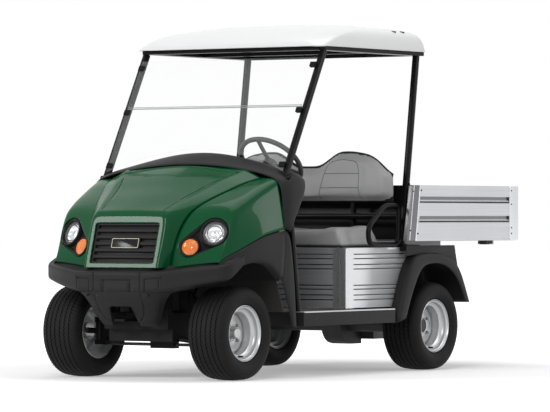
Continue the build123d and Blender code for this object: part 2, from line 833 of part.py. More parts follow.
with BuildPart() as hip_restraints:
    with BuildSketch(side_plane(loop_x)):
        with BuildLine():
            Polyline(*loop_outline, close=True)
        make_face()
        fillet(vertices(), loop_round)
        offset(amount=-loop_thickness, mode=Mode.SUBTRACT)
    extrude(amount=loop_thickness)
    mirror(about=Plane.YZ)
write(hip_restraints.part, "hip_restraints")

# Rear cross beam behind the seat, on posts from the rails
post_front_offset_length = -207
post_front_y = rear_axle_y + post_front_offset_length
with BuildPart() as rear_beam:
    box_between((-beam_half_width, beam_front_y, beam_bottom_z), (beam_half_width, beam_rear_y, beam_top_z))
    box_between((rail_inner_x, post_front_y, rear_rail_top_z), (rail_outer_x, beam_rear_y, beam_bottom_z))
    box_between((-rail_outer_x, post_front_y, rear_rail_top_z), (-rail_inner_x, beam_rear_y, beam_bottom_z))
write(rear_beam.part, "rear_beam")

# Rear fenders: an arched skin with an outer lip and a side panel that rises to the bed
fender_wall = 5
fender_inner_inset_width = 198.5
fender_inner_x = half_width - fender_inner_inset_width
fender_outer_inset_width = 8.5
fender_outer_x = half_width - fender_outer_inset_width
fender_lip = 8
panel_inner_inset_width = 36.5
panel_inner_x = half_width - panel_inner_inset_width
fender_front_offset_length = -428
fender_front_y = rear_axle_y + fender_front_offset_length
fender_length = 720
fender_low_z = 254
fender_height = 391
# arch, wheel opening and side panel: shares of the fender's length and height
fender_arch_shares = (
    (0, 0), (0.1917, 0.8798), (0.5153, 0.9156), (0.7764, 0.8312),
    (0.8875, 0.6445), (1, 0.2404),
)
fender_arch = side_points(fender_arch_shares, fender_front_y, fender_length, fender_low_z, fender_height)
wheel_opening_shares = (
    (0.1264, 0.0588), (0.3528, 0.734), (0.5708, 0.7698), (0.7903, 0.6189),
    (0.9306, 0.243),
)
wheel_opening = side_points(wheel_opening_shares, fender_front_y, fender_length, fender_low_z, fender_height)
fender_panel_shares = (
    (0.2361, 0.8849), (0.5153, 0.9105), (0.7764, 0.8261), (0.8764, 0.665),
    (0.8222, 1), (0.2361, 1),
)
fender_panel = side_points(fender_panel_shares, fender_front_y, fender_length, fender_low_z, fender_height)

with BuildPart() as rear_fenders:
    outline_between(fender_arch + wheel_opening[::-1], fender_outer_x - fender_lip, fender_outer_x)
    outline_between(band(fender_arch, fender_wall), fender_inner_x, fender_outer_x)
    outline_between(fender_panel, panel_inner_x, panel_inner_x + fender_wall)
    mirror(about=Plane.YZ)
write(rear_fenders.part, "rear_fenders")

# Hood: station lines from the grille's foot up the front and back to the cowl, each point x, y, z
skin = 5
hood_middle_shares = (
    (0, 0.0713, 0.5181), (0, 0.1035, 0.581), (0, 0.1503, 0.6724), (0, 0.186, 0.7419),
    (0, 0.2121, 0.7762), (0, 0.3139, 0.8143), (0, 0.4768, 0.8619), (0, 0.6328, 0.9),
    (0, 0.7855, 0.9505), (0, 1, 1),
)
hood_middle = front_points(hood_middle_shares)
hood_ridge_shares = (
    (0.35, 0.0713, 0.5181), (0.3532, 0.1035, 0.581), (0.3564, 0.1503, 0.6724), (0.3516, 0.186, 0.7419),
    (0.3309, 0.2155, 0.7733), (0.3532, 0.3139, 0.8019), (0.4073, 0.4768, 0.8457), (0.4614, 0.6328, 0.8838),
    (0.5123, 0.7855, 0.9286), (0.576, 1, 0.9714),
)
hood_ridge = front_points(hood_ridge_shares)
hood_seam_shares = (
    (0.3787, 0.1951, 0.52), (0.3866, 0.2138, 0.5895), (0.4057, 0.2596, 0.6724), (0.436, 0.3291, 0.7419),
    (0.463, 0.3885, 0.7829), (0.5044, 0.4835, 0.8181), (0.5617, 0.6142, 0.8533), (0.6189, 0.7465, 0.8857),
    (0.6635, 0.8466, 0.9114), (0.716, 1, 0.9333),
)
hood_seam = front_points(hood_seam_shares)
fender_crease_shares = (
    (0.7701, 0.285, 0.5448), (0.7844, 0.3478, 0.6095), (0.7908, 0.3987, 0.681), (0.7987, 0.4174, 0.7124),
    (0.8083, 0.4768, 0.7829), (0.8146, 0.548, 0.8076), (0.8226, 0.6091, 0.8286), (0.8385, 0.7414, 0.861),
    (0.8496, 0.8364, 0.8857), (0.8719, 1, 0.9229),
)
fender_crease = front_points(fender_crease_shares)
flare_top_shares = (
    (0.7796, 0.2545, 0.5429), (0.7955, 0.302, 0.5619), (0.8146, 0.3614, 0.5762), (0.8274, 0.3953, 0.5829),
    (0.8433, 0.4496, 0.5962), (0.8624, 0.5226, 0.6143), (0.8783, 0.5904, 0.6305), (0.9006, 0.6922, 0.6552),
    (0.9165, 0.794, 0.6743), (0.9356, 1, 0.6943),
)
flare_top = front_points(flare_top_shares)
seam_shift = 3
grille_half_width = 190
grille_bottom_z = 566
grille_top_z = 762
grille_round = 14
grille_setback_length = 82.1
grille_y = nose_y + grille_setback_length
grille_z = 664
grille_tilt_angle = 16
grille_depth = 14
grille_height = 220
grille_flange = 8
slat_count = 5
slat_height = 20
slat_pitch = 33
plaque_half_width = 62
plaque_height = 30
lamp_radius = 60
bezel_radius = 76
bezel_depth = 14
bezel_rise = 3
turn_radius = 42
turn_bezel_radius = 52
lamp_depth = 46
lamp_cut = 160
lamp_place_shares = ((0.6826, 0.3716, 0.681), (0.5171, 0.2799, 0.6143))
lamp_place, turn_place = front_points(lamp_place_shares)
lamp_direction = (0.302, -0.886, 0.352)

grille_upright = Plane(origin=(0, grille_y, grille_z), x_dir=(1, 0, 0), z_dir=(0, -1, 0))
grille_plane = grille_upright.rotated((-grille_tilt_angle, 0, 0))
with BuildPart() as hood:
    ridge_right, seam_right = flipped(hood_ridge), flipped(hood_seam)
    add(sheet((seam_right, ridge_right, hood_middle, hood_ridge, hood_seam), skin))
    with BuildSketch(front_plane(nose_y)):
        with Locations((0, (grille_bottom_z + grille_top_z) / 2)):
            RectangleRounded(2 * grille_half_width, grille_top_z - grille_bottom_z, grille_round)
    extrude(amount=-lamp_cut, mode=Mode.SUBTRACT)
write(hood.part, "hood")


# Each pair of lamps sits in one drop-shaped housing, drawn on a plane square to the lamps
lamp_plane = Plane(origin=lamp_place, z_dir=lamp_direction)
turn_spot = lamp_plane.to_local_coords(Vector(*turn_place))


def housing_shape(growth):
    """The outline round both lamps, wider by growth all round."""
    with BuildSketch(mode=Mode.PRIVATE) as outline:
        Circle(bezel_radius + growth)
        with Locations((turn_spot.X, turn_spot.Y)):
            Circle(turn_bezel_radius + growth)
        make_hull()
    return outline.sketch


with BuildPart() as fender_left:
    inner_edge = [(x + seam_shift, y + seam_shift, z - seam_shift) for x, y, z in hood_seam]
    add(sheet((inner_edge, fender_crease, flare_top), skin))
    with BuildSketch(lamp_plane, mode=Mode.PRIVATE) as opening:
        add(housing_shape(seat_gap))
    extrude(opening.sketch, amount=lamp_cut, both=True, mode=Mode.SUBTRACT)
write(fender_left.part, "fender_left")
write(mirror(fender_left.part, about=Plane.YZ), "fender_right")

# Lamps: round head lamps in dark bezels above amber turn lamps
with BuildPart() as head_lamps:
    rod_between(along(lamp_place, lamp_direction, -lamp_depth), lamp_place, lamp_radius)
    mirror(about=Plane.YZ)
write(head_lamps.part, "head_lamps")

with BuildPart() as lamp_bezels:
    with BuildSketch(lamp_plane.offset(-bezel_depth)):
        add(housing_shape(0))
        Circle(lamp_radius + seat_gap, mode=Mode.SUBTRACT)
        with Locations((turn_spot.X, turn_spot.Y)):
            Circle(turn_radius + seat_gap, mode=Mode.SUBTRACT)
    extrude(amount=bezel_depth + bezel_rise)
    mirror(about=Plane.YZ)
write(lamp_bezels.part, "lamp_bezels")

with BuildPart() as turn_lamps:
    start = along(turn_place, lamp_direction, -lamp_depth / 2)
    rod_between(start, along(turn_place, lamp_direction, bezel_depth), turn_radius)
    mirror(about=Plane.YZ)
write(turn_lamps.part, "turn_lamps")

# Grille: a rounded frame with level slats and a blank plaque, set into the hood's opening
with BuildPart() as grille:
    with BuildSketch(grille_plane):
        RectangleRounded(2 * (grille_half_width + grille_flange), grille_height, grille_round)
        with GridLocations(0, slat_pitch, 1, slat_count + 1):
            Rectangle(2 * (grille_half_width - grille_round), slat_pitch - slat_height, mode=Mode.SUBTRACT)
        RectangleRounded(2 * plaque_half_width, plaque_height, face_gap)
    extrude(amount=-grille_depth)
write(grille.part, "grille")

# Front bumper: a wrap-round cover with a lower chin that has a tow slot
bumper_row_shares = (
    (
        (0, 0.0696, 0.5076), (0.35, 0.0899, 0.5076), (0.4121, 0.2087, 0.5105),
        (0.6364, 0.2392, 0.5286), (0.7733, 0.2833, 0.5333), (0.8751, 0.341, 0.541),
    ),
    (
        (0, 0.0136, 0.501), (0.35, 0.0221, 0.501), (0.4169, 0.0424, 0.5038),
        (0.6364, 0.1408, 0.52), (0.8115, 0.2511, 0.5314), (0.8831, 0.3139, 0.5362),
    ),
    (
        (0, 0, 0.4114), (0.35, 0.0051, 0.4114), (0.4169, 0.0254, 0.4152),
        (0.6364, 0.1205, 0.4362), (0.8115, 0.2341, 0.4571), (0.8831, 0.3054, 0.4686),
    ),
    (
        (0, 0.0899, 0.3981), (0.35, 0.0984, 0.3981), (0.4169, 0.1239, 0.4048),
        (0.6364, 0.2087, 0.4267), (0.8035, 0.2901, 0.4495), (0.8719, 0.341, 0.4619),
    ),
)
bumper_rows = [front_points(row) for row in bumper_row_shares]
chin_row_shares = (
    ((0, 0.0221, 0.4057), (0.3421, 0.0305, 0.4057), (0.3739, 0.1578, 0.4057)),
    ((0, 0.0254, 0.381), (0.3262, 0.0356, 0.381), (0.358, 0.1578, 0.381)),
    ((0, 0.1442, 0.2495), (0.2387, 0.1527, 0.2495), (0.2625, 0.2426, 0.2495)),
)
chin_rows = [front_points(row) for row in chin_row_shares]
slot_half_width = 80
slot_foot_half_width = 98
slot_top_z = 358
slot_corner_radius = 8

with BuildPart() as front_bumper:
    for rows in (bumper_rows, chin_rows):
        add(sheet([flipped(row[:0:-1]) + list(row) for row in rows], skin))
    with BuildSketch(front_plane(nose_y)):
        with BuildLine():
            Polyline(
                (-slot_foot_half_width, frame_bottom_z),
                (-slot_half_width, slot_top_z),
                (slot_half_width, slot_top_z),
                (slot_foot_half_width, frame_bottom_z),
                close=True,
            )
        make_face()
        fillet(vertices().group_by(Axis.Z)[-1], slot_corner_radius)
    extrude(amount=-front_body_length, mode=Mode.SUBTRACT)
write(front_bumper.part, "front_bumper")

# Front arch flares: a dark strip between the fender's lower edge and the wheel opening
flare_lower_shares = (
    (0.7908, 0.2782, 0.4762), (0.8035, 0.3037, 0.4857), (0.8242, 0.341, 0.499), (0.8433, 0.375, 0.5105),
    (0.8671, 0.4293, 0.5238), (0.891, 0.5141, 0.54), (0.9101, 0.5904, 0.5495), (0.9308, 0.6922, 0.5495),
    (0.9419, 0.794, 0.5352), (0.9515, 0.9467, 0.4667),
)
flare_lower = front_points(flare_lower_shares)
flare_return_width = 40
flare_return_drop = 2
flare_inner = [(x - flare_return_width, y, z - flare_return_drop) for x, y, z in flare_lower]
flare_gap = 0.8
flare_front_setback_length = 207
flare_front_y = nose_y + flare_front_setback_length
flare_rear_top_shares = (
    (0.9356, 1, 0.6895), (0.9547, 1.04, 0.6771), (0.9578, 1.0994, 0.4571), (0.9578, 1.1317, 0.2381),
)
flare_rear_top = front_points(flare_rear_top_shares)
flare_rear_low_shares = (
    (0.9515, 0.9467, 0.4667), (0.9547, 1.001, 0.4), (0.9562, 1.0536, 0.3238), (0.9562, 1.0977, 0.2381),
)
flare_rear_low = front_points(flare_rear_low_shares)

with BuildPart() as front_flares:
    flare_upper = [(x + seam_shift, y, z - flare_gap) for x, y, z in flare_top]
    add(sheet((flare_upper, flare_lower, flare_inner), skin))
    add(sheet((flare_rear_top, flare_rear_low), skin))
    box_between((rail_inner_x, nose_y, 0), (half_width, flare_front_y, seat_deck_z), Mode.SUBTRACT)
    mirror(about=Plane.YZ)
write(front_flares.part, "front_flares")

# Dashboard and cowl: one dark moulding across the cab, crowned in the middle
dash_front_shares = (
    (0.9356, 1.001, 0.6971), (0.9006, 1.001, 0.92), (0.6476, 1.001, 0.9657), (0.3198, 1.001, 0.9933),
    (0, 1.001, 1.0029),
)
dash_front = front_points(dash_front_shares)
dash_crest_shares = (
    (0.9547, 1.0299, 0.6933), (0.961, 1.2216, 0.9486), (0.6683, 1.2216, 0.9952), (0.3182, 1.2216, 1.0476),
    (0, 1.2216, 1.0676),
)
dash_crest = front_points(dash_crest_shares)
dash_rear_shares = (
    (0.9578, 1.0502, 0.6876), (0.9578, 1.3353, 0.941), (0.6683, 1.3353, 0.9848), (0.3182, 1.3353, 1.0362),
    (0, 1.3353, 1.0552),
)
dash_rear = front_points(dash_rear_shares)
dash_lower_shares = (
    (0.891, 1.0502, 0.6876), (0.891, 1.3183, 0.819), (0.6523, 1.3183, 0.819), (0.3182, 1.3183, 0.819),
    (0, 1.3183, 0.819),
)
dash_lower = front_points(dash_lower_shares)
strut_slot = 4

# Canopy struts: bars that follow side points y, z
strut_thickness = 34
strut_half_width = 17
front_strut_inset_width = 87.5
front_strut_x = half_width - front_strut_inset_width
front_strut_foot_inset_width = 72.5
front_strut_foot_x = half_width - front_strut_foot_inset_width
knee_setback_length = 315
knee_y = front_axle_y + knee_setback_length
knee_z = 975
front_strut_top_setback_length = 672
front_strut_top_y = front_axle_y + front_strut_top_setback_length
front_strut_top_z = 1620
roof_tube_low_z = 1621
roof_edge_z = 1655
roof_front_edge_setback_length = 600
roof_front_edge_y = front_axle_y + roof_front_edge_setback_length
roof_rear_edge_offset_length = -37
roof_rear_edge_y = rear_axle_y + roof_rear_edge_offset_length
shin_setback_length = 42
shin_z = 720
strut_foot_setback_length = 100
front_strut_lower = (
    (knee_y, knee_z),
    (knee_y + shin_setback_length, shin_z),
    (knee_y + strut_foot_setback_length, rocker_top_z),
)
front_strut_upper = ((knee_y, knee_z), (front_strut_top_y, front_strut_top_z))
rear_strut_inset_width = 103.5
rear_strut_x = half_width - rear_strut_inset_width
rear_strut_foot_offset_length = -243
rear_strut_foot_y = rear_axle_y + rear_strut_foot_offset_length
rear_strut_lean_length = 149
rear_strut_height = roof_edge_z - beam_top_z
rear_strut_shares = ((0, 0), (0.4966, 0.4876), (0.9463, 0.9453), (1, 1))
rear_strut_line = side_points(
    rear_strut_shares, rear_strut_foot_y, rear_strut_lean_length, beam_top_z, rear_strut_height
)

with BuildPart() as dashboard:
    rows = (dash_front, dash_crest, dash_rear, dash_lower)
    add(sheet([list(row) + flipped(row[-2::-1]) for row in rows], skin))
    for side_x in (front_strut_x, -front_strut_x):
        outline_between(
            band(front_strut_upper, strut_thickness + 2 * strut_slot),
            side_x - strut_half_width - strut_slot, side_x + strut_half_width + strut_slot, Mode.SUBTRACT,
        )
    for side_x in (front_strut_foot_x, -front_strut_foot_x):
        outline_between(
            band(front_strut_lower, strut_thickness + 2 * strut_slot),
            side_x - strut_half_width - strut_slot, side_x + strut_half_width + strut_slot, Mode.SUBTRACT,
        )
    rod_between(wheel_centre, along(wheel_centre, steer_axis, -2 * jacket_length), jacket_hole, Mode.SUBTRACT)
write(dashboard.part, "dashboard")

with BuildPart() as front_struts:
    outline_between(
        band(front_strut_upper, strut_thickness),
        front_strut_x - strut_half_width, front_strut_x + strut_half_width,
    )
    outline_between(
        band(front_strut_lower, strut_thickness),
        front_strut_foot_x - strut_half_width, front_strut_foot_x + strut_half_width,
    )
    box_between(
        (front_strut_x - strut_half_width, front_strut_lower[-1][0] - strut_thickness, 0),
        (front_strut_foot_x + strut_half_width, front_strut_lower[-1][0] + strut_thickness, rocker_top_z),
        Mode.SUBTRACT,
    )
    box_between(
        (front_strut_x - strut_half_width, roof_front_edge_y, roof_tube_low_z),
        (front_strut_x + strut_half_width, 0, roof_edge_z),
        Mode.SUBTRACT,
    )
    mirror(about=Plane.YZ)
write(front_struts.part, "front_struts")

with BuildPart() as rear_struts:
    outline_between(
        band(rear_strut_line, strut_thickness), rear_strut_x - strut_half_width, rear_strut_x + strut_half_width
    )
    box_between(
        (rear_strut_x - strut_half_width, beam_front_y, 0),
        (rear_strut_x + strut_half_width, beam_rear_y, beam_top_z),
        Mode.SUBTRACT,
    )
    box_between(
        (rear_strut_x - strut_half_width, 0, roof_tube_low_z),
        (rear_strut_x + strut_half_width, roof_rear_edge_y, roof_edge_z),
        Mode.SUBTRACT,
    )
    mirror(about=Plane.YZ)
write(rear_struts.part, "rear_struts")

# Windshield: two clear sheets in front of the struts, held by clips
glass_thickness = 5
glass_gap = 3
glass_inset_width = 92.5
glass_half_width = half_width - glass_inset_width
slope = math.hypot(front_strut_top_y - knee_y, front_strut_top_z - knee_z)
slope_y = (front_strut_top_y - knee_y) / slope
slope_z = (front_strut_top_z - knee_z) / slope
glass_offset = strut_thickness / 2 + glass_gap
glass_plane = Plane(
    origin=(0, knee_y - slope_z * glass_offset, knee_z + slope_y * glass_offset),
    x_dir=(1, 0, 0),
    z_dir=(0, -slope_z, slope_y),
)
glass_split = 404
glass_upper_start = 410
glass_top = 684
# Lower edge from the middle out: shares of the half width and of the height up the slope
glass_foot_shares = ((0, 0.2456), (0.3731, 0.2105), (0.7836, 0.1316), (1, 0.0497))
clip_x = front_strut_x - strut_half_width
clip_half_width = 16
clip_half_height = 13
clip_depth = 8
clip_shares = (0.1023, 0.5556, 0.9357)
clip_places = [share * glass_top for share in clip_shares]

with BuildPart() as windshield_lower:
    with BuildSketch(glass_plane):
        with BuildLine():
            glass_foot = [(a * glass_half_width, b * glass_top) for a, b in glass_foot_shares]
            right_foot = [(-x, y) for x, y in glass_foot[:0:-1]]
            top_corners = ((glass_half_width, glass_split), (-glass_half_width, glass_split))
            Polyline(*right_foot, *glass_foot, *top_corners, close=True)
        make_face()
    extrude(amount=glass_thickness)
write(windshield_lower.part, "windshield_lower")

with BuildPart() as windshield_upper:
    with BuildSketch(glass_plane):
        with Locations((0, (glass_upper_start + glass_top) / 2)):
            Rectangle(2 * glass_half_width, glass_top - glass_upper_start)
    extrude(amount=glass_thickness)
write(windshield_upper.part, "windshield_upper")

with BuildPart() as windshield_clips:
    with BuildSketch(glass_plane.offset(glass_thickness)):
        for place in clip_places:
            with Locations((clip_x, place), (-clip_x, place)):
                Rectangle(2 * clip_half_width, 2 * clip_half_height)
    extrude(amount=clip_depth)
    with BuildSketch(glass_plane):
        for place in clip_places:
            with Locations((clip_x, place), (-clip_x, place)):
                Rectangle(2 * clip_half_width, 2 * clip_half_height)
    extrude(amount=-glass_gap)
write(windshield_clips.part, "windshield_clips")

# Roof: a thin crowned moulding on a frame of tubes
roof_wall = 8
roof_outer_inset_width = 56.5
roof_outer_x = half_width - roof_outer_inset_width
roof_low_z = 1640
roof_rise_height = 136
# Side view from front to rear and half the front view: shares of the roof's size and of its rise
roof_side_shares = (
    (0, 0), (0.0146, 0.3529), (0.0633, 0.6029), (0.1899, 0.8235), (0.4041, 0.9706),
    (0.6865, 0.9853), (0.8715, 0.8971), (0.9766, 0.7206), (1, 0.3676), (1, 0),
)
roof_front_shares = ((0, 1), (0.5245, 0.9412), (0.8217, 0.8088), (0.9441, 0.625), (0.9895, 0.3676), (1, 0))
roof_corner = 60
roof_tube_x = rear_strut_x
roof_tube_front_setback_length = 658
roof_tube_front_y = front_axle_y + roof_tube_front_setback_length
roof_tube_rear_offset_length = -76.7
roof_tube_rear_y = rear_axle_y + roof_tube_rear_offset_length
roof_rear_cross_inset_length = 14.3
roof_middle_cross_share = 0.5
roof_rear_cross_y = roof_tube_rear_y - roof_rear_cross_inset_length
roof_middle_cross_y = front_strut_top_y + roof_middle_cross_share * (roof_rear_cross_y - front_strut_top_y)
roof_cross_places = (front_strut_top_y, roof_middle_cross_y, roof_rear_cross_y)


def roof_solid(shrink, drop):
    """The roof's outer block, drawn in by shrink all round and down by drop."""
    reach = roof_outer_x - shrink
    length = roof_rear_edge_y - roof_front_edge_y - 2 * shrink
    low_z = roof_low_z - drop
    side = side_points(roof_side_shares, roof_front_edge_y + shrink, length, low_z, roof_rise_height)
    across = side_points(roof_front_shares, 0, reach, low_z, roof_rise_height)
    across += [(-x, z) for x, z in across[:0:-1]]
    with BuildPart() as block:
        outline_between(side, -half_width, half_width)
        with BuildSketch(front_plane(half_width), mode=Mode.PRIVATE) as arch:
            with BuildLine():
                Polyline(*across, close=True)
            make_face()
        extrude(arch.sketch, amount=overall_width, mode=Mode.INTERSECT)
        with BuildSketch(floor_plane(seat_deck_z), mode=Mode.PRIVATE) as plan:
            with Locations((0, (roof_rear_edge_y + roof_front_edge_y) / 2)):
                RectangleRounded(2 * reach, length, roof_corner - shrink)
        extrude(plan.sketch, amount=overall_length, mode=Mode.INTERSECT)
    return block.part


with BuildPart() as roof:
    add(roof_solid(0, 0))
    add(roof_solid(roof_wall, roof_wall), mode=Mode.SUBTRACT)
write(roof.part, "roof")

with BuildPart() as roof_frame:
    for side_x in (-roof_tube_x, roof_tube_x):
        box_between(
            (side_x - strut_thickness, roof_tube_front_y, roof_tube_low_z),
            (side_x + strut_thickness, roof_tube_rear_y, roof_edge_z),
        )
    for place in roof_cross_places:
        box_between(
            (-roof_tube_x, place - strut_half_width, roof_tube_low_z),
            (roof_tube_x, place + strut_half_width, roof_edge_z),
        )
write(roof_frame.part, "roof_frame")

# Pedals hung from the fire wall
brake_pedal_x = 210
drive_pedal_x = 330
pedal_places = (brake_pedal_x, drive_pedal_x)
pedal_half_width = 32
pedal_height = 70
pedal_thickness = 8
pedal_z = 420
pedal_setback_length = 335
pedal_y = front_axle_y + pedal_setback_length
pedal_arm_radius = 7
pedal_pivot_z = 640

with BuildPart() as pedals:
    for place in pedal_places:
        box_between(
            (place - pedal_half_width, pedal_y - pedal_thickness, pedal_z),
            (place + pedal_half_width, pedal_y, pedal_z + pedal_height),
        )
        rod_between(
            (place, pedal_y - pedal_thickness / 2, pedal_z + pedal_height / 2),
            (place, toe_y + fire_wall_thickness, pedal_pivot_z),
            pedal_arm_radius,
        )
    box_between(
        (0, toe_y - overrun, pedal_z),
        (half_width, toe_y + fire_wall_thickness, seat_deck_z + overrun),
        Mode.SUBTRACT,
    )
    box_between(
        (pedal_places[0] - pedal_half_width, toe_y + fire_wall_thickness, pedal_pivot_z - overrun),
        (pedal_places[1] + pedal_half_width, toe_y + overrun, pedal_pivot_z + overrun),
    )
write(pedals.part, "pedals")

# Cargo bed: floor, planked walls and posts on two bearers that tip about a rear pin
bed_front_offset_length = -214
bed_front_y = rear_axle_y + bed_front_offset_length
bed_rear_setback_length = 17
bed_rear_y = tail_y - bed_rear_setback_length
plank_thickness = 20
bed_floor_thickness = 8
deck_rise = 2
front_wall_lean = 46
groove_width = 34
groove_depth = 6
groove_shares = (0.262, 0.609)
front_post_offset_length = -351
front_post_y = rear_axle_y + front_post_offset_length
front_post_length = 132
front_post_shares = ((0, 0), (0.6515, 0), (1, 1), (0.4318, 1))
front_post_outline = side_points(front_post_shares, front_post_y, front_post_length, bed_floor_z, bed_wall_height)
post_thickness = 28
rear_post_front_setback_length = 106
rear_post_front_y = tail_y - rear_post_front_setback_length
bearer_x = 200
bearer_width = 36
bearer_front_offset_length = -149
bearer_front_y = rear_axle_y + bearer_front_offset_length
bearer_rear_setback_length = 143
bearer_rear_y = tail_y - bearer_rear_setback_length
bearer_height = 40
tip_setback_length = 273
tip_y = tail_y - tip_setback_length
tip_z = 600
tip_pin_radius = 9
tip_lug_radius = 24
tip_lug_thickness = 16
upright_thickness = 14
gate_front_setback_length = 15
gate_front_y = tail_y - gate_front_setback_length
gate_inset_width = 28.5
gate_half_width = half_width - gate_inset_width
gate_bottom_z = 673
gate_top_z = 952
gate_pin_z = 652
gate_pin_setback_length = 8.5
gate_pin_y = tail_y - gate_pin_setback_length
gate_pin_radius = 4
gate_ear_radius = 8
gate_ear_x = 420
gate_ear_half_length = 22
bed_top_z = bed_floor_z + bed_wall_height
bed_deck_z = bed_floor_z + bed_floor_thickness
wall_inner_x = half_width - plank_thickness
post_inner_x = half_width - post_thickness
deck_front_y = bed_front_y + plank_thickness + face_gap
deck_half_width = post_inner_x - face_gap
bearer_low_z = bed_floor_z - bearer_height

with BuildPart() as bed_floor:
    box_between((-wall_inner_x, bed_front_y, bed_floor_z), (wall_inner_x, bed_rear_y, bed_deck_z))
    box_between((-deck_half_width, deck_front_y, bed_floor_z), (deck_half_width, bed_rear_y, bed_deck_z + deck_rise))
    lug_front_y, lug_rear_y = tip_y - tip_lug_radius, tip_y + tip_lug_radius
    lug_low_z = tip_z - tip_lug_radius
    lug_outline = (
        (lug_front_y, bearer_low_z), (lug_front_y, lug_low_z), (lug_rear_y, lug_low_z), (lug_rear_y, bearer_low_z),
    )
    for side in (-1, 1):
        bearer_low_x = side * bearer_x - bearer_width / 2
        box_between(
            (bearer_low_x, bearer_front_y, bearer_low_z), (bearer_low_x + bearer_width, bearer_rear_y, bed_floor_z)
        )
        lug_x = side * bearer_x - tip_lug_thickness / 2
        outline_between(lug_outline, lug_x, lug_x + tip_lug_thickness)
        rod_between(
            (lug_x - overrun, tip_y, tip_z),
            (lug_x + 2 * overrun, tip_y, tip_z),
            tip_pin_radius + pin_gap,
            Mode.SUBTRACT,
        )
        ear_low_x = side * gate_ear_x - gate_ear_half_length
        ear_high_x = side * gate_ear_x + gate_ear_half_length
        box_between(
            (ear_low_x, bed_rear_y - overrun, gate_pin_z - gate_ear_radius), (ear_high_x, gate_pin_y, bed_floor_z)
        )
        rod_between((ear_low_x, gate_pin_y, gate_pin_z), (ear_high_x, gate_pin_y, gate_pin_z), gate_ear_radius)
        rod_between(
            (ear_low_x - gate_ear_half_length, gate_pin_y, gate_pin_z),
            (ear_high_x + gate_ear_half_length, gate_pin_y, gate_pin_z),
            gate_pin_radius,
        )
write(bed_floor.part, "bed_floor")

with BuildPart() as bed_walls:
    post_rear_y = front_post_outline[1][0]
    box_between((wall_inner_x, post_rear_y, bed_floor_z), (half_width, bed_rear_y, bed_top_z))
    for share in groove_shares:
        with BuildSketch(side_plane(half_width)):
            with Locations(((post_rear_y + bed_rear_y) / 2, bed_top_z - share * bed_wall_height)):
                Rectangle(bed_rear_y, groove_width)
        extrude(amount=-groove_depth, mode=Mode.SUBTRACT)
    outline_between(front_post_outline, post_inner_x, half_width)
    box_between((post_inner_x, rear_post_front_y, bed_deck_z), (half_width, bed_rear_y, bed_top_z))
    mirror(about=Plane.YZ)
    front_wall = (
        (bed_front_y, bed_deck_z),
        (bed_front_y + plank_thickness, bed_deck_z),
        (bed_front_y + front_wall_lean + plank_thickness, bed_top_z),
        (bed_front_y + front_wall_lean, bed_top_z),
    )
    outline_between(front_wall, -wall_inner_x, wall_inner_x)
write(bed_walls.part, "bed_walls")

with BuildPart() as tailgate:
    box_between((-gate_half_width, gate_front_y, gate_bottom_z), (gate_half_width, tail_y, gate_top_z))
    for share in groove_shares:
        with BuildSketch(front_plane(tail_y)):
            with Locations((0, bed_top_z - share * bed_wall_height)):
                Rectangle(2 * gate_half_width, groove_width)
        extrude(amount=-groove_depth, mode=Mode.SUBTRACT)
    for side in (-1, 1):
        for step in (-1, 1):
            x = side * gate_ear_x + step * (gate_ear_half_length + face_gap)
            far_x = x + step * gate_ear_half_length
            box_between(
                (min(x, far_x), gate_front_y, gate_pin_z),
                (max(x, far_x), tail_y - face_gap, gate_bottom_z),
            )
            rod_between((x, gate_pin_y, gate_pin_z), (far_x, gate_pin_y, gate_pin_z), gate_ear_radius)
            rod_between(
                (x - step * face_gap, gate_pin_y, gate_pin_z),
                (far_x + step * face_gap, gate_pin_y, gate_pin_z),
                gate_pin_radius + pin_gap,
                Mode.SUBTRACT,
            )
write(tailgate.part, "tailgate")

with BuildPart() as tip_uprights:
    inner_x = bearer_x - tip_lug_thickness / 2 - face_gap
    outer_x = inner_x - upright_thickness
    lug_top_z = tip_z + tip_lug_radius / 2
    box_between((outer_x, lug_front_y, rear_rail_top_z), (inner_x, lug_rear_y, lug_top_z))
    box_between((rail_inner_x, lug_front_y, rear_rail_top_z), (inner_x, lug_rear_y, rear_rail_top_z + overrun))
    rod_between((outer_x, tip_y, tip_z), (bearer_x + tip_lug_thickness, tip_y, tip_z), tip_pin_radius)
    mirror(about=Plane.YZ)
write(tip_uprights.part, "tip_uprights")
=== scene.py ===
import bpy, bmesh, math
from mathutils import Matrix, Vector
from mathutils.bvhtree import BVHTree


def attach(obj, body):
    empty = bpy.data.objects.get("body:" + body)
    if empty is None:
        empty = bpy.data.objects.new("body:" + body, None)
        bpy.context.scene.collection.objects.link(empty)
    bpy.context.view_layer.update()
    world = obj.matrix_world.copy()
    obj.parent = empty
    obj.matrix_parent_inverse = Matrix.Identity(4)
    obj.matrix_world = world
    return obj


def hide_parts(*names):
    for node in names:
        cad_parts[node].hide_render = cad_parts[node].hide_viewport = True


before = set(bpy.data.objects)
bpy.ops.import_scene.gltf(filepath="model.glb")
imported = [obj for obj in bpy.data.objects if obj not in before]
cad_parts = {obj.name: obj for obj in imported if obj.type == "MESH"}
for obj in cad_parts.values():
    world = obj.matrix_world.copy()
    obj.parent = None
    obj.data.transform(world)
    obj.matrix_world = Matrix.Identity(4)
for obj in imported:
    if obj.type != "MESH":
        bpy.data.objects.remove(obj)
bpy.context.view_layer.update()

# Stage: a pale seamless floor under soft studio light, with the camera at the photograph's place.
# The vehicle stands on the floor with its nose towards -Y and its left side towards +X.
MM = 0.001


def put(tree, kind, **settings):
    """Places one shader node and sets its plain properties."""
    node = tree.nodes.new(kind)
    for key, value in settings.items():
        setattr(node, key, value)
    return node


def preset(node, values):
    """Sets the plain values of a node's inputs."""
    for label, value in values.items():
        node.inputs[label].default_value = value


def wire(tree, *links):
    """Joins shader nodes; each link is given as (from node, output, to node, input)."""
    for source, output, target, socket in links:
        tree.links.new(source.outputs[output], target.inputs[socket])


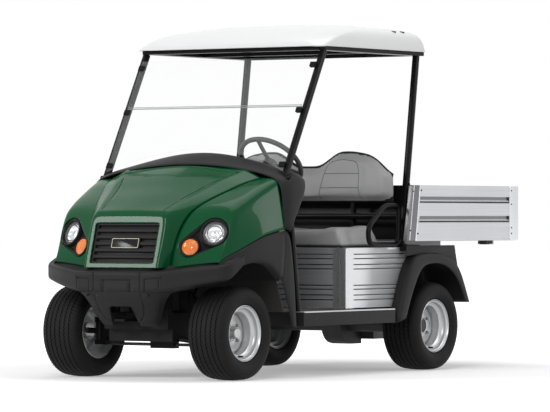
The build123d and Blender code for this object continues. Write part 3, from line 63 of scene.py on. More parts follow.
def linked(name, bm, material):
    """Puts a bmesh into the scene as a piece with one material."""
    mesh = bpy.data.meshes.new(name)
    bm.to_mesh(mesh)
    bm.free()
    mesh.materials.append(material)
    piece = bpy.data.objects.new(name, mesh)
    bpy.context.collection.objects.link(piece)
    return piece


def mesh_piece(name, bm, material, sharp=35):
    """Turns a bmesh into a smooth-shaded piece with sharp edges above an angle in degrees."""
    bmesh.ops.recalc_face_normals(bm, faces=bm.faces)
    for face in bm.faces:
        face.smooth = True
    for edge in bm.edges:
        if len(edge.link_faces) == 2 and edge.calc_face_angle(0) > math.radians(sharp):
            edge.smooth = False
    return linked(name, bm, material)


floor_paint = bpy.data.materials.new("floor_white")
floor_paint.use_nodes = True
tree = floor_paint.node_tree
tree.nodes.clear()
# The floor glows for camera and glossy rays so that it reads white; the glow is 0.34 within 1.5 m of the
# middle and rises to 1.0 at 4 m, a painted soft shadow round the vehicle on top of its real one.
path = put(tree, "ShaderNodeLightPath")
matt = put(tree, "ShaderNodeBsdfDiffuse")
glow = put(tree, "ShaderNodeEmission")
place = put(tree, "ShaderNodeTexCoord")
reach = put(tree, "ShaderNodeVectorMath", operation="LENGTH")
near_shadow_ramp = put(tree, "ShaderNodeMapRange")
preset(matt, {"Color": (0.82, 0.82, 0.82, 1)})
preset(glow, {"Color": (1, 1, 1, 1)})
preset(near_shadow_ramp, {"From Min": 1.5, "From Max": 4.0, "To Min": 0.34, "To Max": 1.0})
wire(tree, (place, "Object", reach, 0), (reach, "Value", near_shadow_ramp, "Value"), (near_shadow_ramp, "Result", glow, "Strength"))
both = put(tree, "ShaderNodeAddShader")
only = put(tree, "ShaderNodeMixShader")
seen = put(tree, "ShaderNodeMath", operation="MAXIMUM")
out = put(tree, "ShaderNodeOutputMaterial")
wire(
    tree, (path, "Is Camera Ray", seen, 0), (path, "Is Glossy Ray", seen, 1), (matt, 0, both, 0),
    (glow, 0, both, 1), (seen, 0, only, 0), (matt, 0, only, 1), (both, 0, only, 2), (only, 0, out, "Surface"),
)
bm = bmesh.new()
bmesh.ops.create_grid(bm, x_segments=1, y_segments=1, size=60)
floor = mesh_piece("floor", bm, floor_paint)

world = bpy.data.worlds.new("studio")
bpy.context.scene.world = world
world.use_nodes = True
tree = world.node_tree
tree.nodes.clear()
path = put(tree, "ShaderNodeLightPath")
seen = put(tree, "ShaderNodeMath", operation="MAXIMUM")
far = put(tree, "ShaderNodeMath", operation="MAXIMUM")
air = put(tree, "ShaderNodeBackground")
white = put(tree, "ShaderNodeBackground")
mix = put(tree, "ShaderNodeMixShader")
out = put(tree, "ShaderNodeOutputWorld")
preset(air, {"Strength": 0.34})
preset(white, {"Color": (1, 1, 1, 1), "Strength": 1.0})
wire(
    tree, (path, "Is Camera Ray", seen, 0), (path, "Is Glossy Ray", seen, 1), (seen, 0, far, 0),
    (path, "Is Transmission Ray", far, 1), (far, 0, mix, 0), (air, 0, mix, 1), (white, 0, mix, 2),
    (mix, 0, out, "Surface"),
)

for name, place, size, power in (
    ("key_lamp", (5.0, -10.5, 6.5), 3.2, 420),
    ("top_lamp", (0.5, 0.5, 6.5), 5.0, 170),
    ("side_lamp", (-5.5, -8.5, 4.2), 2.4, 330),
    ("tail_lamp", (8.0, 5.0, 4.2), 3.0, 150),
):
    lamp = bpy.data.lights.new(name, "AREA")
    lamp.size, lamp.energy = size, power
    holder = bpy.data.objects.new(name, lamp)
    holder.location = place
    holder.rotation_euler = (Vector((0, 0, 0.7)) - Vector(place)).to_track_quat("-Z", "Y").to_euler()
    bpy.context.collection.objects.link(holder)

camera = bpy.data.objects.new("camera", bpy.data.cameras.new("camera"))
camera.data.lens, camera.data.sensor_width, camera.data.clip_end = 261.8, 36, 200
camera.location = (11.4409, -17.0075, 0.7986)
camera.rotation_euler = Vector((-0.55845, 0.82954, 0.00238)).to_track_quat("-Z", "Y").to_euler()
bpy.context.collection.objects.link(camera)
bpy.context.scene.camera = camera
bpy.context.scene.view_settings.view_transform = "Standard"

# Frame and running gear: welded and cast steel under satin black paint, with a film of dust low down.
# These nodes keep their CAD shapes; the paint has a faint orange-peel surface.


def effect(name, inputs, outputs):
    """A shader node group with named sockets; returns the group with its input and output nodes."""
    group = bpy.data.node_groups.new(name, "ShaderNodeTree")
    for label, kind, value in inputs:
        group.interface.new_socket(label, in_out="INPUT", socket_type=kind).default_value = value
    for label, kind in outputs:
        group.interface.new_socket(label, in_out="OUTPUT", socket_type=kind)
    return group, group.nodes.new("NodeGroupInput"), group.nodes.new("NodeGroupOutput")


# Grain: fine relief for moulded and painted faces, with a slow change of tone
GRAIN, given, result = effect(
    "moulded_grain",
    (("Cells", "NodeSocketFloat", 900.0), ("Softness", "NodeSocketFloat", 0.5)),
    (("Height", "NodeSocketFloat"), ("Tone", "NodeSocketFloat")),
)
place = put(GRAIN, "ShaderNodeTexCoord")
fine = put(GRAIN, "ShaderNodeTexNoise")
slow = put(GRAIN, "ShaderNodeTexNoise")
preset(slow, {"Scale": 5})
wire(
    GRAIN, (place, "Object", fine, "Vector"), (place, "Object", slow, "Vector"),
    (given, "Cells", fine, "Scale"), (given, "Softness", fine, "Roughness"), (fine, "Fac", result, "Height"),
    (slow, "Fac", result, "Tone"),
)

# Dust: a pale film that thickens towards the ground and breaks up in patches
COLOR_A, COLOR_B, MIXED = 6, 7, 2
DUST, given, result = effect(
    "road_dust",
    (
        ("Color", "NodeSocketColor", (0.5, 0.5, 0.5, 1)), ("Dust", "NodeSocketColor", (0.22, 0.2, 0.17, 1)),
        ("Reach", "NodeSocketFloat", 0.5), ("Amount", "NodeSocketFloat", 0.3),
    ),
    (("Color", "NodeSocketColor"), ("Mask", "NodeSocketFloat")),
)
place = put(DUST, "ShaderNodeTexCoord")
split = put(DUST, "ShaderNodeSeparateXYZ")
patch = put(DUST, "ShaderNodeTexNoise")
fall = put(DUST, "ShaderNodeMapRange")
thick = put(DUST, "ShaderNodeMath", operation="MULTIPLY")
weigh = put(DUST, "ShaderNodeMath", operation="MULTIPLY")
blend = put(DUST, "ShaderNodeMix", data_type="RGBA")
preset(patch, {"Scale": 14})
preset(fall, {"To Min": 1, "To Max": 0})
wire(
    DUST, (place, "Object", split, 0), (place, "Object", patch, "Vector"), (split, "Z", fall, "Value"),
    (given, "Reach", fall, "From Max"), (fall, "Result", thick, 0), (patch, "Fac", thick, 1),
    (thick, 0, weigh, 0), (given, "Amount", weigh, 1), (weigh, 0, blend, 0), (given, "Color", blend, COLOR_A),
    (given, "Dust", blend, COLOR_B), (blend, MIXED, result, "Color"), (weigh, 0, result, "Mask"),
)


def principled(name):
    """A new material; returns it with its node tree and its shader node."""
    material = bpy.data.materials.new(name)
    material.use_nodes = True
    return material, material.node_tree, material.node_tree.nodes["Principled BSDF"]


def coated(name, color, rough, cells, relief, dusty=0.0, metal=0.0, tone=0.12, **sockets):
    """A painted or moulded finish: base colour with slow tone, grain relief and a film of dust."""
    material, tree, body = principled(name)
    preset(body, {"Metallic": metal})
    preset(body, {label.replace("_", " "): value for label, value in sockets.items()})
    grain, dust = put(tree, "ShaderNodeGroup", node_tree=GRAIN), put(tree, "ShaderNodeGroup", node_tree=DUST)
    preset(grain, {"Cells": cells})
    preset(dust, {"Amount": dusty})
    shade = put(tree, "ShaderNodeMix", data_type="RGBA")
    preset(shade, {COLOR_A: (*[c * (1 - tone) for c in color], 1)})
    preset(shade, {COLOR_B: (*[min(c * (1 + tone), 1) for c in color], 1)})
    bump = put(tree, "ShaderNodeBump")
    preset(bump, {"Strength": 0.35, "Distance": relief})
    dull = put(tree, "ShaderNodeMapRange")
    preset(dull, {"To Min": rough * 0.9, "To Max": min(rough * 1.15 + dusty * 0.5, 1)})
    wire(
        tree, (grain, "Tone", shade, 0), (shade, MIXED, dust, "Color"), (dust, "Color", body, "Base Color"),
        (grain, "Tone", dull, "Value"), (dull, "Result", body, "Roughness"),
        (grain, "Height", bump, "Height"), (bump, "Normal", body, "Normal"),
    )
    return material


def dress(material, *nodes):
    """Gives CAD nodes that keep their own shape one finish."""
    for node in nodes:
        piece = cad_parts[node]
        for place in piece.material_slots:
            place.material = material


chassis_paint = coated(
    "chassis_black", (0.007, 0.007, 0.0075), 0.45, 160, 0.0004, dusty=0.06, Specular_IOR_Level=0.12,
)
drive_cast = coated("drive_case_grey", (0.075, 0.075, 0.078), 0.55, 260, 0.0008, dusty=0.3, metal=0.4)
dress(
    chassis_paint, "frame_rails", "cross_members", "rear_beam", "front_suspension", "front_shocks",
    "knuckle_left", "knuckle_right", "steering_gear", "rear_springs", "bumper_arms",
)
dress(drive_cast, "rear_axle", "engine_block", "steering_rack")

# Tyres: turf tyres in black rubber, with saw-tooth ribs between zig-zag grooves and a notched shoulder.
# Each is built ring by ring round its own axle, with a raised line on the bare sidewall.
TYRE_RADIUS = HUB_Z = 228.5
FRONT_AXLE_Y, REAR_AXLE_Y = -1055, 609
FRONT_WHEEL_X, REAR_WHEEL_X = 438, 489
WHEELS = {
    "front_left": (FRONT_WHEEL_X, FRONT_AXLE_Y, 1), "front_right": (-FRONT_WHEEL_X, FRONT_AXLE_Y, -1),
    "rear_left": (REAR_WHEEL_X, REAR_AXLE_Y, 1), "rear_right": (-REAR_WHEEL_X, REAR_AXLE_Y, -1),
}


def skin(bm, rings, closed=False):
    """Joins each ring of points to the next with faces, and the last to the first when closed."""
    for a, b in zip(rings, rings[1:] + (rings[:1] if closed else [])):
        for k in range(len(a)):
            bm.faces.new((a[k], a[(k + 1) % len(a)], b[(k + 1) % len(a)], b[k]))


def turned(bm, rings, centre, count):
    """Adds rings of (across, radius) points, one ring per step round an axle along X, to a bmesh."""
    columns = []
    for step in range(count):
        angle = math.tau * step / count
        c, s = math.cos(angle), math.sin(angle)
        ring = rings(step) if callable(rings) else rings
        points = [(centre[0] + a, centre[1] + r * c, centre[2] + r * s) for a, r in ring]
        columns.append([bm.verts.new([v * MM for v in point]) for point in points])
    skin(bm, columns, closed=True)


rubber = coated(
    "tyre_rubber", (0.009, 0.009, 0.0095), 0.6, 500, 0.0006, dusty=0.06, tone=0.2, Specular_IOR_Level=0.12,
)
TEETH, GROOVES, GROOVE_DEPTH = 74, (-67, -41, -14, 14, 41, 67), 7
half_sidewall = (
    (64, 127), (78, 127), (80, 136), (86, 141), (93, 143), (94, 146), (99, 152), (100, 155), (105, 165),
    (107.6, 178), (106.5, 192), (103, 203), (98, 211),
)


def tread_ring(step):
    """One ring of the tyre's section, with the grooves swung to and fro along the tread."""
    swing = (0, 3.2, 0, -3.2)[step % 4]
    notch = 3.5 if step % 4 in (0, 1) else 0
    ring = [(-a, r) for a, r in half_sidewall] + [(-93, 217.5 - notch), (-87, 221 - notch * 0.6)]
    for c in GROOVES:
        crown = TYRE_RADIUS - 7 * (c / 86) ** 2
        ring += [(c - 3 + swing, crown), (c - 1.8 + swing, crown - GROOVE_DEPTH)]
        ring += [(c + 1.8 + swing, crown - GROOVE_DEPTH), (c + 3 + swing, crown)]
    ring += [(87, 221 - notch * 0.6), (93, 217.5 - notch)] + [(a, r) for a, r in half_sidewall[::-1]]
    return ring + [(60, 160), (0, 205), (-60, 160)]


for place, (x, y, side) in WHEELS.items():
    bm = bmesh.new()
    turned(bm, tread_ring, (x, y, HUB_Z), TEETH * 4)
    tyre = mesh_piece("turf_tyre_" + place, bm, rubber, sharp=40)
    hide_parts("tyre_" + place)
    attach(tyre, "wheel_" + place)

# Wheels: pressed steel in silver paint, a dished centre welded in a drop-centre barrel, four lug nuts.
# The front hubs end in a grey grease cap and the rear ones in a flat black cap.
silver = coated("wheel_silver", (0.56, 0.57, 0.58), 0.3, 220, 0.0003, dusty=0.12, metal=0.55, tone=0.04)
zinc = coated("zinc_plate", (0.5, 0.5, 0.5), 0.3, 300, 0.0002, metal=0.9, tone=0.1)
cap_black = coated("cap_black", (0.02, 0.02, 0.02), 0.4, 400, 0.0003)
barrel_section = (
    (89, 137), (90, 135), (88, 133.5), (84, 133), (80, 129), (78, 124), (60, 122.5), (55, 118), (50, 105),
    (44, 103),
    (-44, 103), (-50, 105), (-55, 118), (-60, 122.5), (-78, 124), (-80, 129), (-84, 133), (-88, 133.5),
    (-90, 135), (-89, 137),
    (-84, 136), (-80, 132), (-78, 126.7), (-58, 126.5), (-48, 108), (48, 108), (58, 126.5), (78, 126.7),
    (80, 132), (84, 136),
)
disc_section = (
    (-8, 103.4), (2, 102), (9, 97), (12.5, 88), (13, 80), (13, 66), (14.5, 63), (14.5, 42), (13, 38), (7, 36),
    (6, 33),
    (2, 33), (2, 36), (8, 40), (9, 62), (8, 78), (7, 86), (3, 94), (-4, 99), (-8, 100),
)


def sided(section, side):
    """The same wheel section for a wheel on either side."""
    return [(a * side, r) for a, r in section]


def nut(bm, centre, side, radius, height):
    """Adds a six-sided lug nut with a domed tip, standing out along X."""
    x, y, z = centre
    rings = []
    for share, scale in ((0, 1), (0.62, 1), (0.72, 0.9), (0.74, 0.62), (1, 0.5), (1.08, 0.25)):
        turns = [
            (radius * scale * math.cos(math.tau * k / 6), radius * scale * math.sin(math.tau * k / 6))
            for k in range(6)
        ]
        rings.append([bm.verts.new((x + side * height * share, y + c, z + s)) for c, s in turns])
    skin(bm, rings)
    bm.faces.new(rings[-1])


LUG_CIRCLE, LUG_FACE, NUT_RADIUS, NUT_HEIGHT = 50.8, 14, 9.5, 19
VALVE_X, VALVE_DROP = 60, 112
front_cap = [(2, 31), (30, 27), (44, 26), (48, 23), (49, 0.2), (2, 0.2)]
rear_cap = [(2, 31.5), (15, 31.5), (18, 30), (19.5, 25), (20, 0.2), (2, 0.2)]
hub_section = [(-33, 40), (2, 40), (2, 14.2), (-33, 14.2)]
for place, (x, y, side) in WHEELS.items():
    front = place.startswith("front")
    bm = bmesh.new()
    turned(bm, sided(barrel_section, side), (x, y, HUB_Z), 96)
    turned(bm, sided(disc_section, side), (x, y, HUB_Z), 96)
    rim = mesh_piece("steel_wheel_" + place, bm, silver, sharp=50)
    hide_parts("rim_" + place)
    bm = bmesh.new()
    for k in range(4):
        angle = math.tau * (k + 0.5) / 4
        spot = (x + side * LUG_FACE, y + LUG_CIRCLE * math.cos(angle), HUB_Z + LUG_CIRCLE * math.sin(angle))
        nut(bm, [v * MM for v in spot], side, NUT_RADIUS * MM, NUT_HEIGHT * MM)
    turned(bm, sided(hub_section, side), (x, y, HUB_Z), 48)
    nuts = mesh_piece("lug_nuts_" + place, bm, zinc, sharp=25)
    bm = bmesh.new()
    turned(bm, sided(front_cap if front else rear_cap, side), (x, y, HUB_Z), 48)
    hub_cap = mesh_piece("hub_cap_" + place, bm, zinc if front else cap_black, sharp=30)
    bm = bmesh.new()
    foot = Matrix.Translation(((x + side * VALVE_X) * MM, y * MM, (HUB_Z - VALVE_DROP) * MM))
    bmesh.ops.create_cone(
        bm, cap_ends=True, segments=12, radius1=0.006, radius2=0.0035, depth=0.034,
        matrix=foot @ Matrix.Rotation(math.pi / 2 * side, 4, "Y"),
    )
    valve = mesh_piece("valve_" + place, bm, rubber, sharp=30)
    for piece, slot in (
        (rim, "wheel_steel"), (nuts, "wheel_steel"), (hub_cap, "wheel_steel"), (valve, "tyre"),
    ):
        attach(piece, "wheel_" + place)

# Hood: one moulded shell in deep gloss green, with a flat nose round the grille and a ridge on each side.
# Its edges run along the fenders and stop at the cowl; stations go from the nose's foot up and back.


def loft(name, rows, material, wall=5, level=3, skip=(), folds=(), turns=(), pins=()):
    """A moulded shell through rows of points: walled inwards, smoothed, with creased rows where it folds."""
    bm = bmesh.new()
    crease = bm.edges.layers.float.new("crease_edge")
    pinned = bm.verts.layers.float.new("crease_vert")
    grid = [[bm.verts.new([v * MM for v in point]) for point in row] for row in rows]
    for i in range(len(grid) - 1):
        for j in range(len(grid[0]) - 1):
            if (i, j) not in skip:
                bm.faces.new((grid[i][j], grid[i][j + 1], grid[i + 1][j + 1], grid[i + 1][j]))
    for i, j, weight in pins:
        grid[i][j][pinned] = weight
    for i, weight in folds:
        for a, b in zip(grid[i], grid[i][1:]):
            edge = bm.edges.get((a, b))
            if edge:
                edge[crease] = weight
    for j, weight in turns:
        for first, second in zip(grid, grid[1:]):
            edge = bm.edges.get((first[j], second[j]))
            if edge:
                edge[crease] = weight
    for vert in [v for v in bm.verts if not v.link_faces]:
        bm.verts.remove(vert)
    for face in bm.faces:
        face.smooth = True
    piece = linked(name, bm, material)
    smooth = piece.modifiers.new("smooth", "SUBSURF")
    smooth.levels = smooth.render_levels = level
    thick = piece.modifiers.new("wall", "SOLIDIFY")
    thick.thickness, thick.offset = wall * MM, -1
    return piece


def settle(piece):
    """Applies a piece's modifiers to its mesh."""
    mesh = bpy.data.meshes.new_from_object(piece.evaluated_get(bpy.context.evaluated_depsgraph_get()))
    piece.modifiers.clear()
    piece.data = mesh


def carve(piece, cutters):
    """Cuts closed cutter pieces out of a piece and removes the cutters."""
    for cutter in cutters:
        cut = piece.modifiers.new("cut", "BOOLEAN")
        cut.object, cut.solver = cutter, "EXACT"
    settle(piece)
    for cutter in cutters:
        bpy.data.objects.remove(cutter)


def other_side(row):
    """The same row of points on the right side."""
    return [(-x, y, z) for x, y, z in row]


def bent(points, radius, steps=7):
    """Rounds the corners of a path of points in millimetres."""
    path = [Vector(points[0])]
    for before, here, after in zip(points, points[1:], points[2:]):
        before, here, after = Vector(before), Vector(here), Vector(after)
        first = here + (before - here).normalized() * min(radius, (before - here).length * 0.45)
        last = here + (after - here).normalized() * min(radius, (after - here).length * 0.45)
        for k in range(steps + 1):
            t = k / steps
            path.append(first * (1 - t) ** 2 + here * 2 * t * (1 - t) + last * t ** 2)
    return path + [Vector(points[-1])]


def tube(bm, path, radius, count=20, closed=False, side=(1, 0, 0), flat=1.0, square=0.0):
    """Adds a tube along a path in millimetres; flat squeezes it across, square fills out its corners."""
    path = [Vector(point) for point in path]
    total, rings = len(path), []
    for k, point in enumerate(path):
        ahead = path[(k + 1) % total] if closed or k < total - 1 else point
        behind = path[k - 1] if closed or k else point
        run = (ahead - behind).normalized()
        across = (Vector(side) - run * run.dot(Vector(side))).normalized()
        up = run.cross(across)
        ring = []
        for n in range(count):
            angle = math.tau * n / count
            c, s = math.cos(angle), math.sin(angle)
            swell = 1 + square * (max(abs(c), abs(s)) ** -1 - 1)
            ring.append(bm.verts.new((point + (across * c * flat + up * s) * radius * swell) * MM))
        rings.append(ring)
    skin(bm, rings, closed)
    if not closed:
        bm.faces.new(rings[0][::-1])
        bm.faces.new(rings[-1])


def laid(piece, line, aim, start, sunk, turn=26):
    """Points of a bent line of pairs, dropped on a piece by rays along an aim and sunk into it."""
    mesh = piece.data
    tree = BVHTree.FromPolygons(
        [vert.co for vert in mesh.vertices], [face.vertices for face in mesh.polygons],
    )
    smooth = bent([(*pair, 0) for pair in line], turn)
    path = []
    for a, b in zip(smooth, smooth[1:]):
        count = max(1, int((b - a).length / 7))
        path += [a + (b - a) * k / count for k in range(count)]
    found = []
    for point in path + [smooth[-1]]:
        origin = Vector((point.x, start, point.y)) if aim.y else Vector((point.x, point.y, start))
        where, normal, _, _ = tree.ray_cast(origin * MM, aim)
        if where:
            found.append((where - normal * sunk * MM) / MM)
    return found


def groove(piece, lines, aim, start, radius, turn=26, closed=False):
    """Cuts half-round grooves into a piece along bent lines laid on it."""
    cutters = []
    for line in lines:
        bm = bmesh.new()
        found = laid(piece, line, aim, start, 0, turn)
        tube(bm, found[:-1] if closed else found, radius, 8, closed, side=aim)
        cutters.append(mesh_piece("cutter", bm, piece.active_material))
    carve(piece, cutters)


green = coated(
    "body_green", (0.0004, 0.072, 0.0225), 0.25, 35, 0.00012, tone=0.05,
    Coat_Weight=0.2, Coat_Roughness=0.03, Specular_IOR_Level=0.06,
)
hood_seam = (
    (238, -1278, 546), (239, -1275, 566), (246, -1260, 640), (255, -1240, 706), (267, -1214, 758),
    (280, -1186, 798),
    (291, -1164, 822), (317, -1108, 859), (353, -1031, 896), (389, -953, 930), (417, -894, 957),
    (450, -803.6, 980),
)
hood_ridge = (
    (220, -1351, 544), (220.5, -1344.7, 566), (223, -1323.4, 640), (224, -1304.4, 706), (222, -1288.3, 762),
    (216, -1279, 793),
    (209, -1262, 815), (222, -1208, 842), (256, -1112, 888), (290, -1020, 928), (322, -930, 975),
    (362, -803.6, 1021),
)
hood_inner = (
    (190, -1351, 544), (190, -1344.7, 566), (190, -1323.4, 640), (190, -1304.4, 706), (190, -1288.3, 762),
    (188, -1281, 795),
    (184, -1264, 817), (198, -1208, 838), (230, -1112, 886), (262, -1020, 925), (292, -930, 974),
    (334, -803.6, 1020),
)
hood_middle = (
    (0, -1351, 544), (0, -1344.7, 566), (0, -1323.4, 640), (0, -1304.4, 706), (0, -1288.3, 762),
    (0, -1282, 797),
    (0, -1266, 819), (0, -1208, 851), (0, -1112, 903), (0, -1020, 944), (0, -930, 997), (0, -803.6, 1050),
)
half = [hood_seam, hood_ridge, hood_inner]
hole = [(i, j) for i in (2, 3) for j in (1, 2, 3)]
corner_pins = [(i, j, 0.75) for i in (2, 4) for j in (1, 4)] + [(i, j, 1.0) for i in (0, 6) for j in (0, 11)]
hood = loft(
    "hood_shell", [other_side(row) for row in half] + [hood_middle] + half[::-1], green,
    skip=hole, pins=corner_pins, folds=((1, 0.35), (5, 0.35), (2, 0.25), (4, 0.25)),
    turns=((5, 0.45), (6, 0.45)),
)
settle(hood)
DOWN, ABOVE_HOOD = Vector((0, 0, -1)), 1300
bead_line = [(-338, -846), (-231, -832), (-120, -817), (0, -812), (120, -817), (231, -832), (338, -846)]
bm = bmesh.new()
tube(bm, laid(hood, bead_line, DOWN, ABOVE_HOOD, 4.5, 60), 8, 12, side=(0, 1, 0.3), flat=1.3)
bead = mesh_piece("hood_bead", bm, green, sharp=60)
panel_line = ((188, -1256), (217, -1125), (257, -1006), (300, -915))
groove(hood, [[(side * x, y) for x, y in panel_line] for side in (1, -1)], DOWN, ABOVE_HOOD, 2.6, 90)
for piece in (hood, bead):
    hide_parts("hood")
    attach(piece, "chassis")

# Front fenders: moulded shells in the same green, each bolted between the hood, the flare and the cowl.
# A soft crease runs back from above the lamps; one drop-shaped opening takes the housing of both lamps.
fender_crease = (
    (484, -1225, 572), (493, -1188, 640), (497, -1158, 715), (502, -1147, 748), (508, -1112, 822),
    (512, -1070, 848), (517, -1034, 870), (527, -956, 904), (534, -900, 930), (548, -803.6, 969),
)
fender_seam = (
    (241, -1275, 543), (246, -1264, 616), (258, -1237, 703), (277, -1196, 776), (294, -1161, 819),
    (320, -1105, 856), (356, -1028, 893), (392, -950, 927), (420, -891, 954), (453, -803.6, 977),
)
fender_foot = (
    (490, -1224, 570), (500, -1196, 592), (512, -1172, 606), (520, -1154, 614), (530, -1122, 628),
    (542, -1080, 646), (552, -1042, 664), (566, -983, 690), (576, -923, 709), (588, -803.6, 730),
)
LAMP = Vector((429, -1174, 715))
TURN = Vector((325, -1228, 645))
AIM = Vector((0.302, -0.886, 0.352)).normalized()
LAMP_ROUND, TURN_ROUND = 76, 52


def between(first, second, share):
    """A row of points part of the way from one row to another."""
    return [tuple(a + (b - a) * share for a, b in zip(p, q)) for p, q in zip(first, second)]


def rod(bm, start, end, radius, count=32):
    """Adds a closed round bar between two points in millimetres to a bmesh."""
    start, end = Vector(start) * MM, Vector(end) * MM
    turn = (end - start).to_track_quat("Z", "Y").to_matrix().to_4x4()
    bmesh.ops.create_cone(
        bm, cap_ends=True, segments=count, radius1=radius * MM, radius2=radius * MM,
        depth=(end - start).length, matrix=Matrix.Translation((start + end) / 2) @ turn,
    )


def lamp_box(bm, side, levels, hollow=False):
    """Adds a drop-shaped loop round both lamps for each (height, growth), joined into a band or a block."""
    turn = Matrix.Translation(LAMP * MM) @ AIM.to_track_quat("Z", "Y").to_matrix().to_4x4()
    spot = (turn.inverted() @ (TURN * MM)) / MM
    lean, reach = math.atan2(spot.y, spot.x), math.hypot(spot.x, spot.y)
    spread = math.acos((LAMP_ROUND - TURN_ROUND) / reach)
    arcs = (
        (0, 0, LAMP_ROUND, spread, math.tau - 2 * spread),
        (spot.x, spot.y, TURN_ROUND, -spread, 2 * spread),
    )
    loops = []
    for height, growth in levels:
        loop = []
        for cx, cy, radius, start, sweep in arcs:
            for k in range(25):
                angle = lean + start + sweep * k / 24
                x, y = cx + (radius + growth) * math.cos(angle), cy + (radius + growth) * math.sin(angle)
                loop.append(turn @ Vector((x * MM, y * MM, height * MM)))
        loops.append([bm.verts.new((v.x * side, v.y, v.z)) for v in loop])
    if not hollow:
        bm.faces.new(loops[0])
        bm.faces.new(loops[-1])
    skin(bm, loops, hollow)


for side, name in ((1, "left"), (-1, "right")):
    upper, lower = between(fender_seam, fender_crease, 0.5), between(fender_crease, fender_foot, 0.5)
    upper = [(x, y, z + (6 if j > 3 else 2)) for j, (x, y, z) in enumerate(upper)]
    rows = [fender_seam, upper, fender_crease, lower, fender_foot]
    if side < 0:
        rows = [other_side(row) for row in rows][::-1]
    fender = loft(
        "front_fender_" + name, rows, green, folds=((2, 0.25),),
        pins=[(i, j, 1.0) for i in (0, 4) for j in (0, 9)],
    )
    bm = bmesh.new()
    lamp_box(bm, side, ((-110, 0.4), (110, 0.4)))
    carve(fender, [mesh_piece("cutter", bm, green)])
    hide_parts("fender_" + name)
    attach(fender, "chassis")

# Grille: a black moulded insert behind the nose, with five rounded slats and a blank cream-edged plaque.
trim = coated(
    "moulded_black", (0.0165, 0.0165, 0.017), 0.46, 1400, 0.0006, dusty=0.03, tone=0.12,
    Specular_IOR_Level=0.14,
)
gloss_black = coated("gloss_black", (0.005, 0.005, 0.005), 0.2, 60, 0.0001, tone=0.05, Specular_IOR_Level=0.2)
cream = coated("cream_paint", (0.6, 0.56, 0.38), 0.4, 200, 0.0001, tone=0.04)
TILT = Matrix.Translation((0, -1.3112, 0.664)) @ Matrix.Rotation(math.radians(-16), 4, "X") @ Matrix.Rotation(
    math.pi / 2, 4, "X",
)


def rounded(bm, width, height, low, high, radius, matrix, soft=1.5, hollow=0):
    """Adds a rounded slab in a matrix's plane, or a rounded frame when hollow is its rim's width."""
    def loop(inset, level):
        points = []
        w, h, r = width / 2 - inset, height / 2 - inset, max(radius - inset, 0.3)
        for cx, cy, start in ((w - r, h - r, 0), (r - w, h - r, 1), (r - w, r - h, 2), (w - r, r - h, 3)):
            for k in range(7):
                angle = (start + k / 6) * math.pi / 2
                spot = Vector(((cx + r * math.cos(angle)) * MM, (cy + r * math.sin(angle)) * MM, level * MM))
                points.append(bm.verts.new(matrix @ spot))
        return points

    loops = [loop(0, low), loop(0, high - soft), loop(soft * 0.3, high - soft * 0.3), loop(soft, high)]
    if hollow:
        loops += [loop(hollow - soft, high), loop(hollow - soft * 0.3, high - soft * 0.3)]
        loops += [loop(hollow, high - soft), loop(hollow, low)]
    else:
        bm.faces.new(loops[0][::-1])
        bm.faces.new(loops[-1])
    skin(bm, loops, hollow)


bm = bmesh.new()
rounded(bm, 392, 214, -12, 0, 16, TILT, hollow=16)
SLATS, SLAT_PITCH = 5, 33
for k in range(SLATS):
    lift = (k - SLATS // 2) * SLAT_PITCH
    rounded(bm, 372, 19, -16, 1, 9, TILT @ Matrix.Translation((0, lift * MM, 0)), soft=5)
rounded(bm, 384, 204, -17, -14.5, 10, TILT)
grille = mesh_piece("grille_insert", bm, trim, sharp=40)
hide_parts("grille")
bm = bmesh.new()
rounded(bm, 176, 62, -6, 4, 9, TILT, soft=2)
plaque = mesh_piece("grille_plaque", bm, gloss_black, sharp=40)
bm = bmesh.new()
rounded(bm, 160, 48, 3.4, 4.6, 6, TILT, soft=0.4, hollow=3)
border = mesh_piece("plaque_border", bm, cream, sharp=40)
for piece in (grille, plaque, border):
    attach(piece, "chassis")

# Head lamps: a chromed mirror with a round projector behind a clear lens, in a black bezel and housing.
# The turn lamps are amber lenses with moulded rings, lower and nearer the grille.
chrome = coated("lamp_chrome", (0.75, 0.76, 0.78), 0.07, 60, 0.00005, metal=1.0, tone=0.02)


def clear(name, color, rough, alpha):
    """A see-through sheet or lens with a slight haze that changes over its surface."""
    material, tree, body = principled(name)
    preset(body, {"Specular IOR Level": 0.3})
    grain = put(tree, "ShaderNodeGroup", node_tree=GRAIN)
    preset(grain, {"Cells": 30})
    shade = put(tree, "ShaderNodeMix", data_type="RGBA")
    haze = put(tree, "ShaderNodeMapRange")
    dull = put(tree, "ShaderNodeMapRange")
    preset(shade, {COLOR_A: (*color, 1), COLOR_B: (*[c * 0.93 for c in color], 1)})
    preset(haze, {"To Min": alpha * 0.85, "To Max": alpha * 1.15})
    preset(dull, {"To Min": rough * 0.7, "To Max": rough * 1.3})
    wire(
        tree, (grain, "Tone", shade, 0), (shade, MIXED, body, "Base Color"), (grain, "Tone", haze, "Value"),
        (haze, "Result", body, "Alpha"), (grain, "Tone", dull, "Value"), (dull, "Result", body, "Roughness"),
    )
    return material


lens = clear("lamp_lens", (0.85, 0.88, 0.9), 0.03, 0.14)
amber = coated(
    "amber_lens", (0.86, 0.2, 0.005), 0.16, 90, 0.0003, tone=0.12, Coat_Weight=0.6, Coat_Roughness=0.05,
)


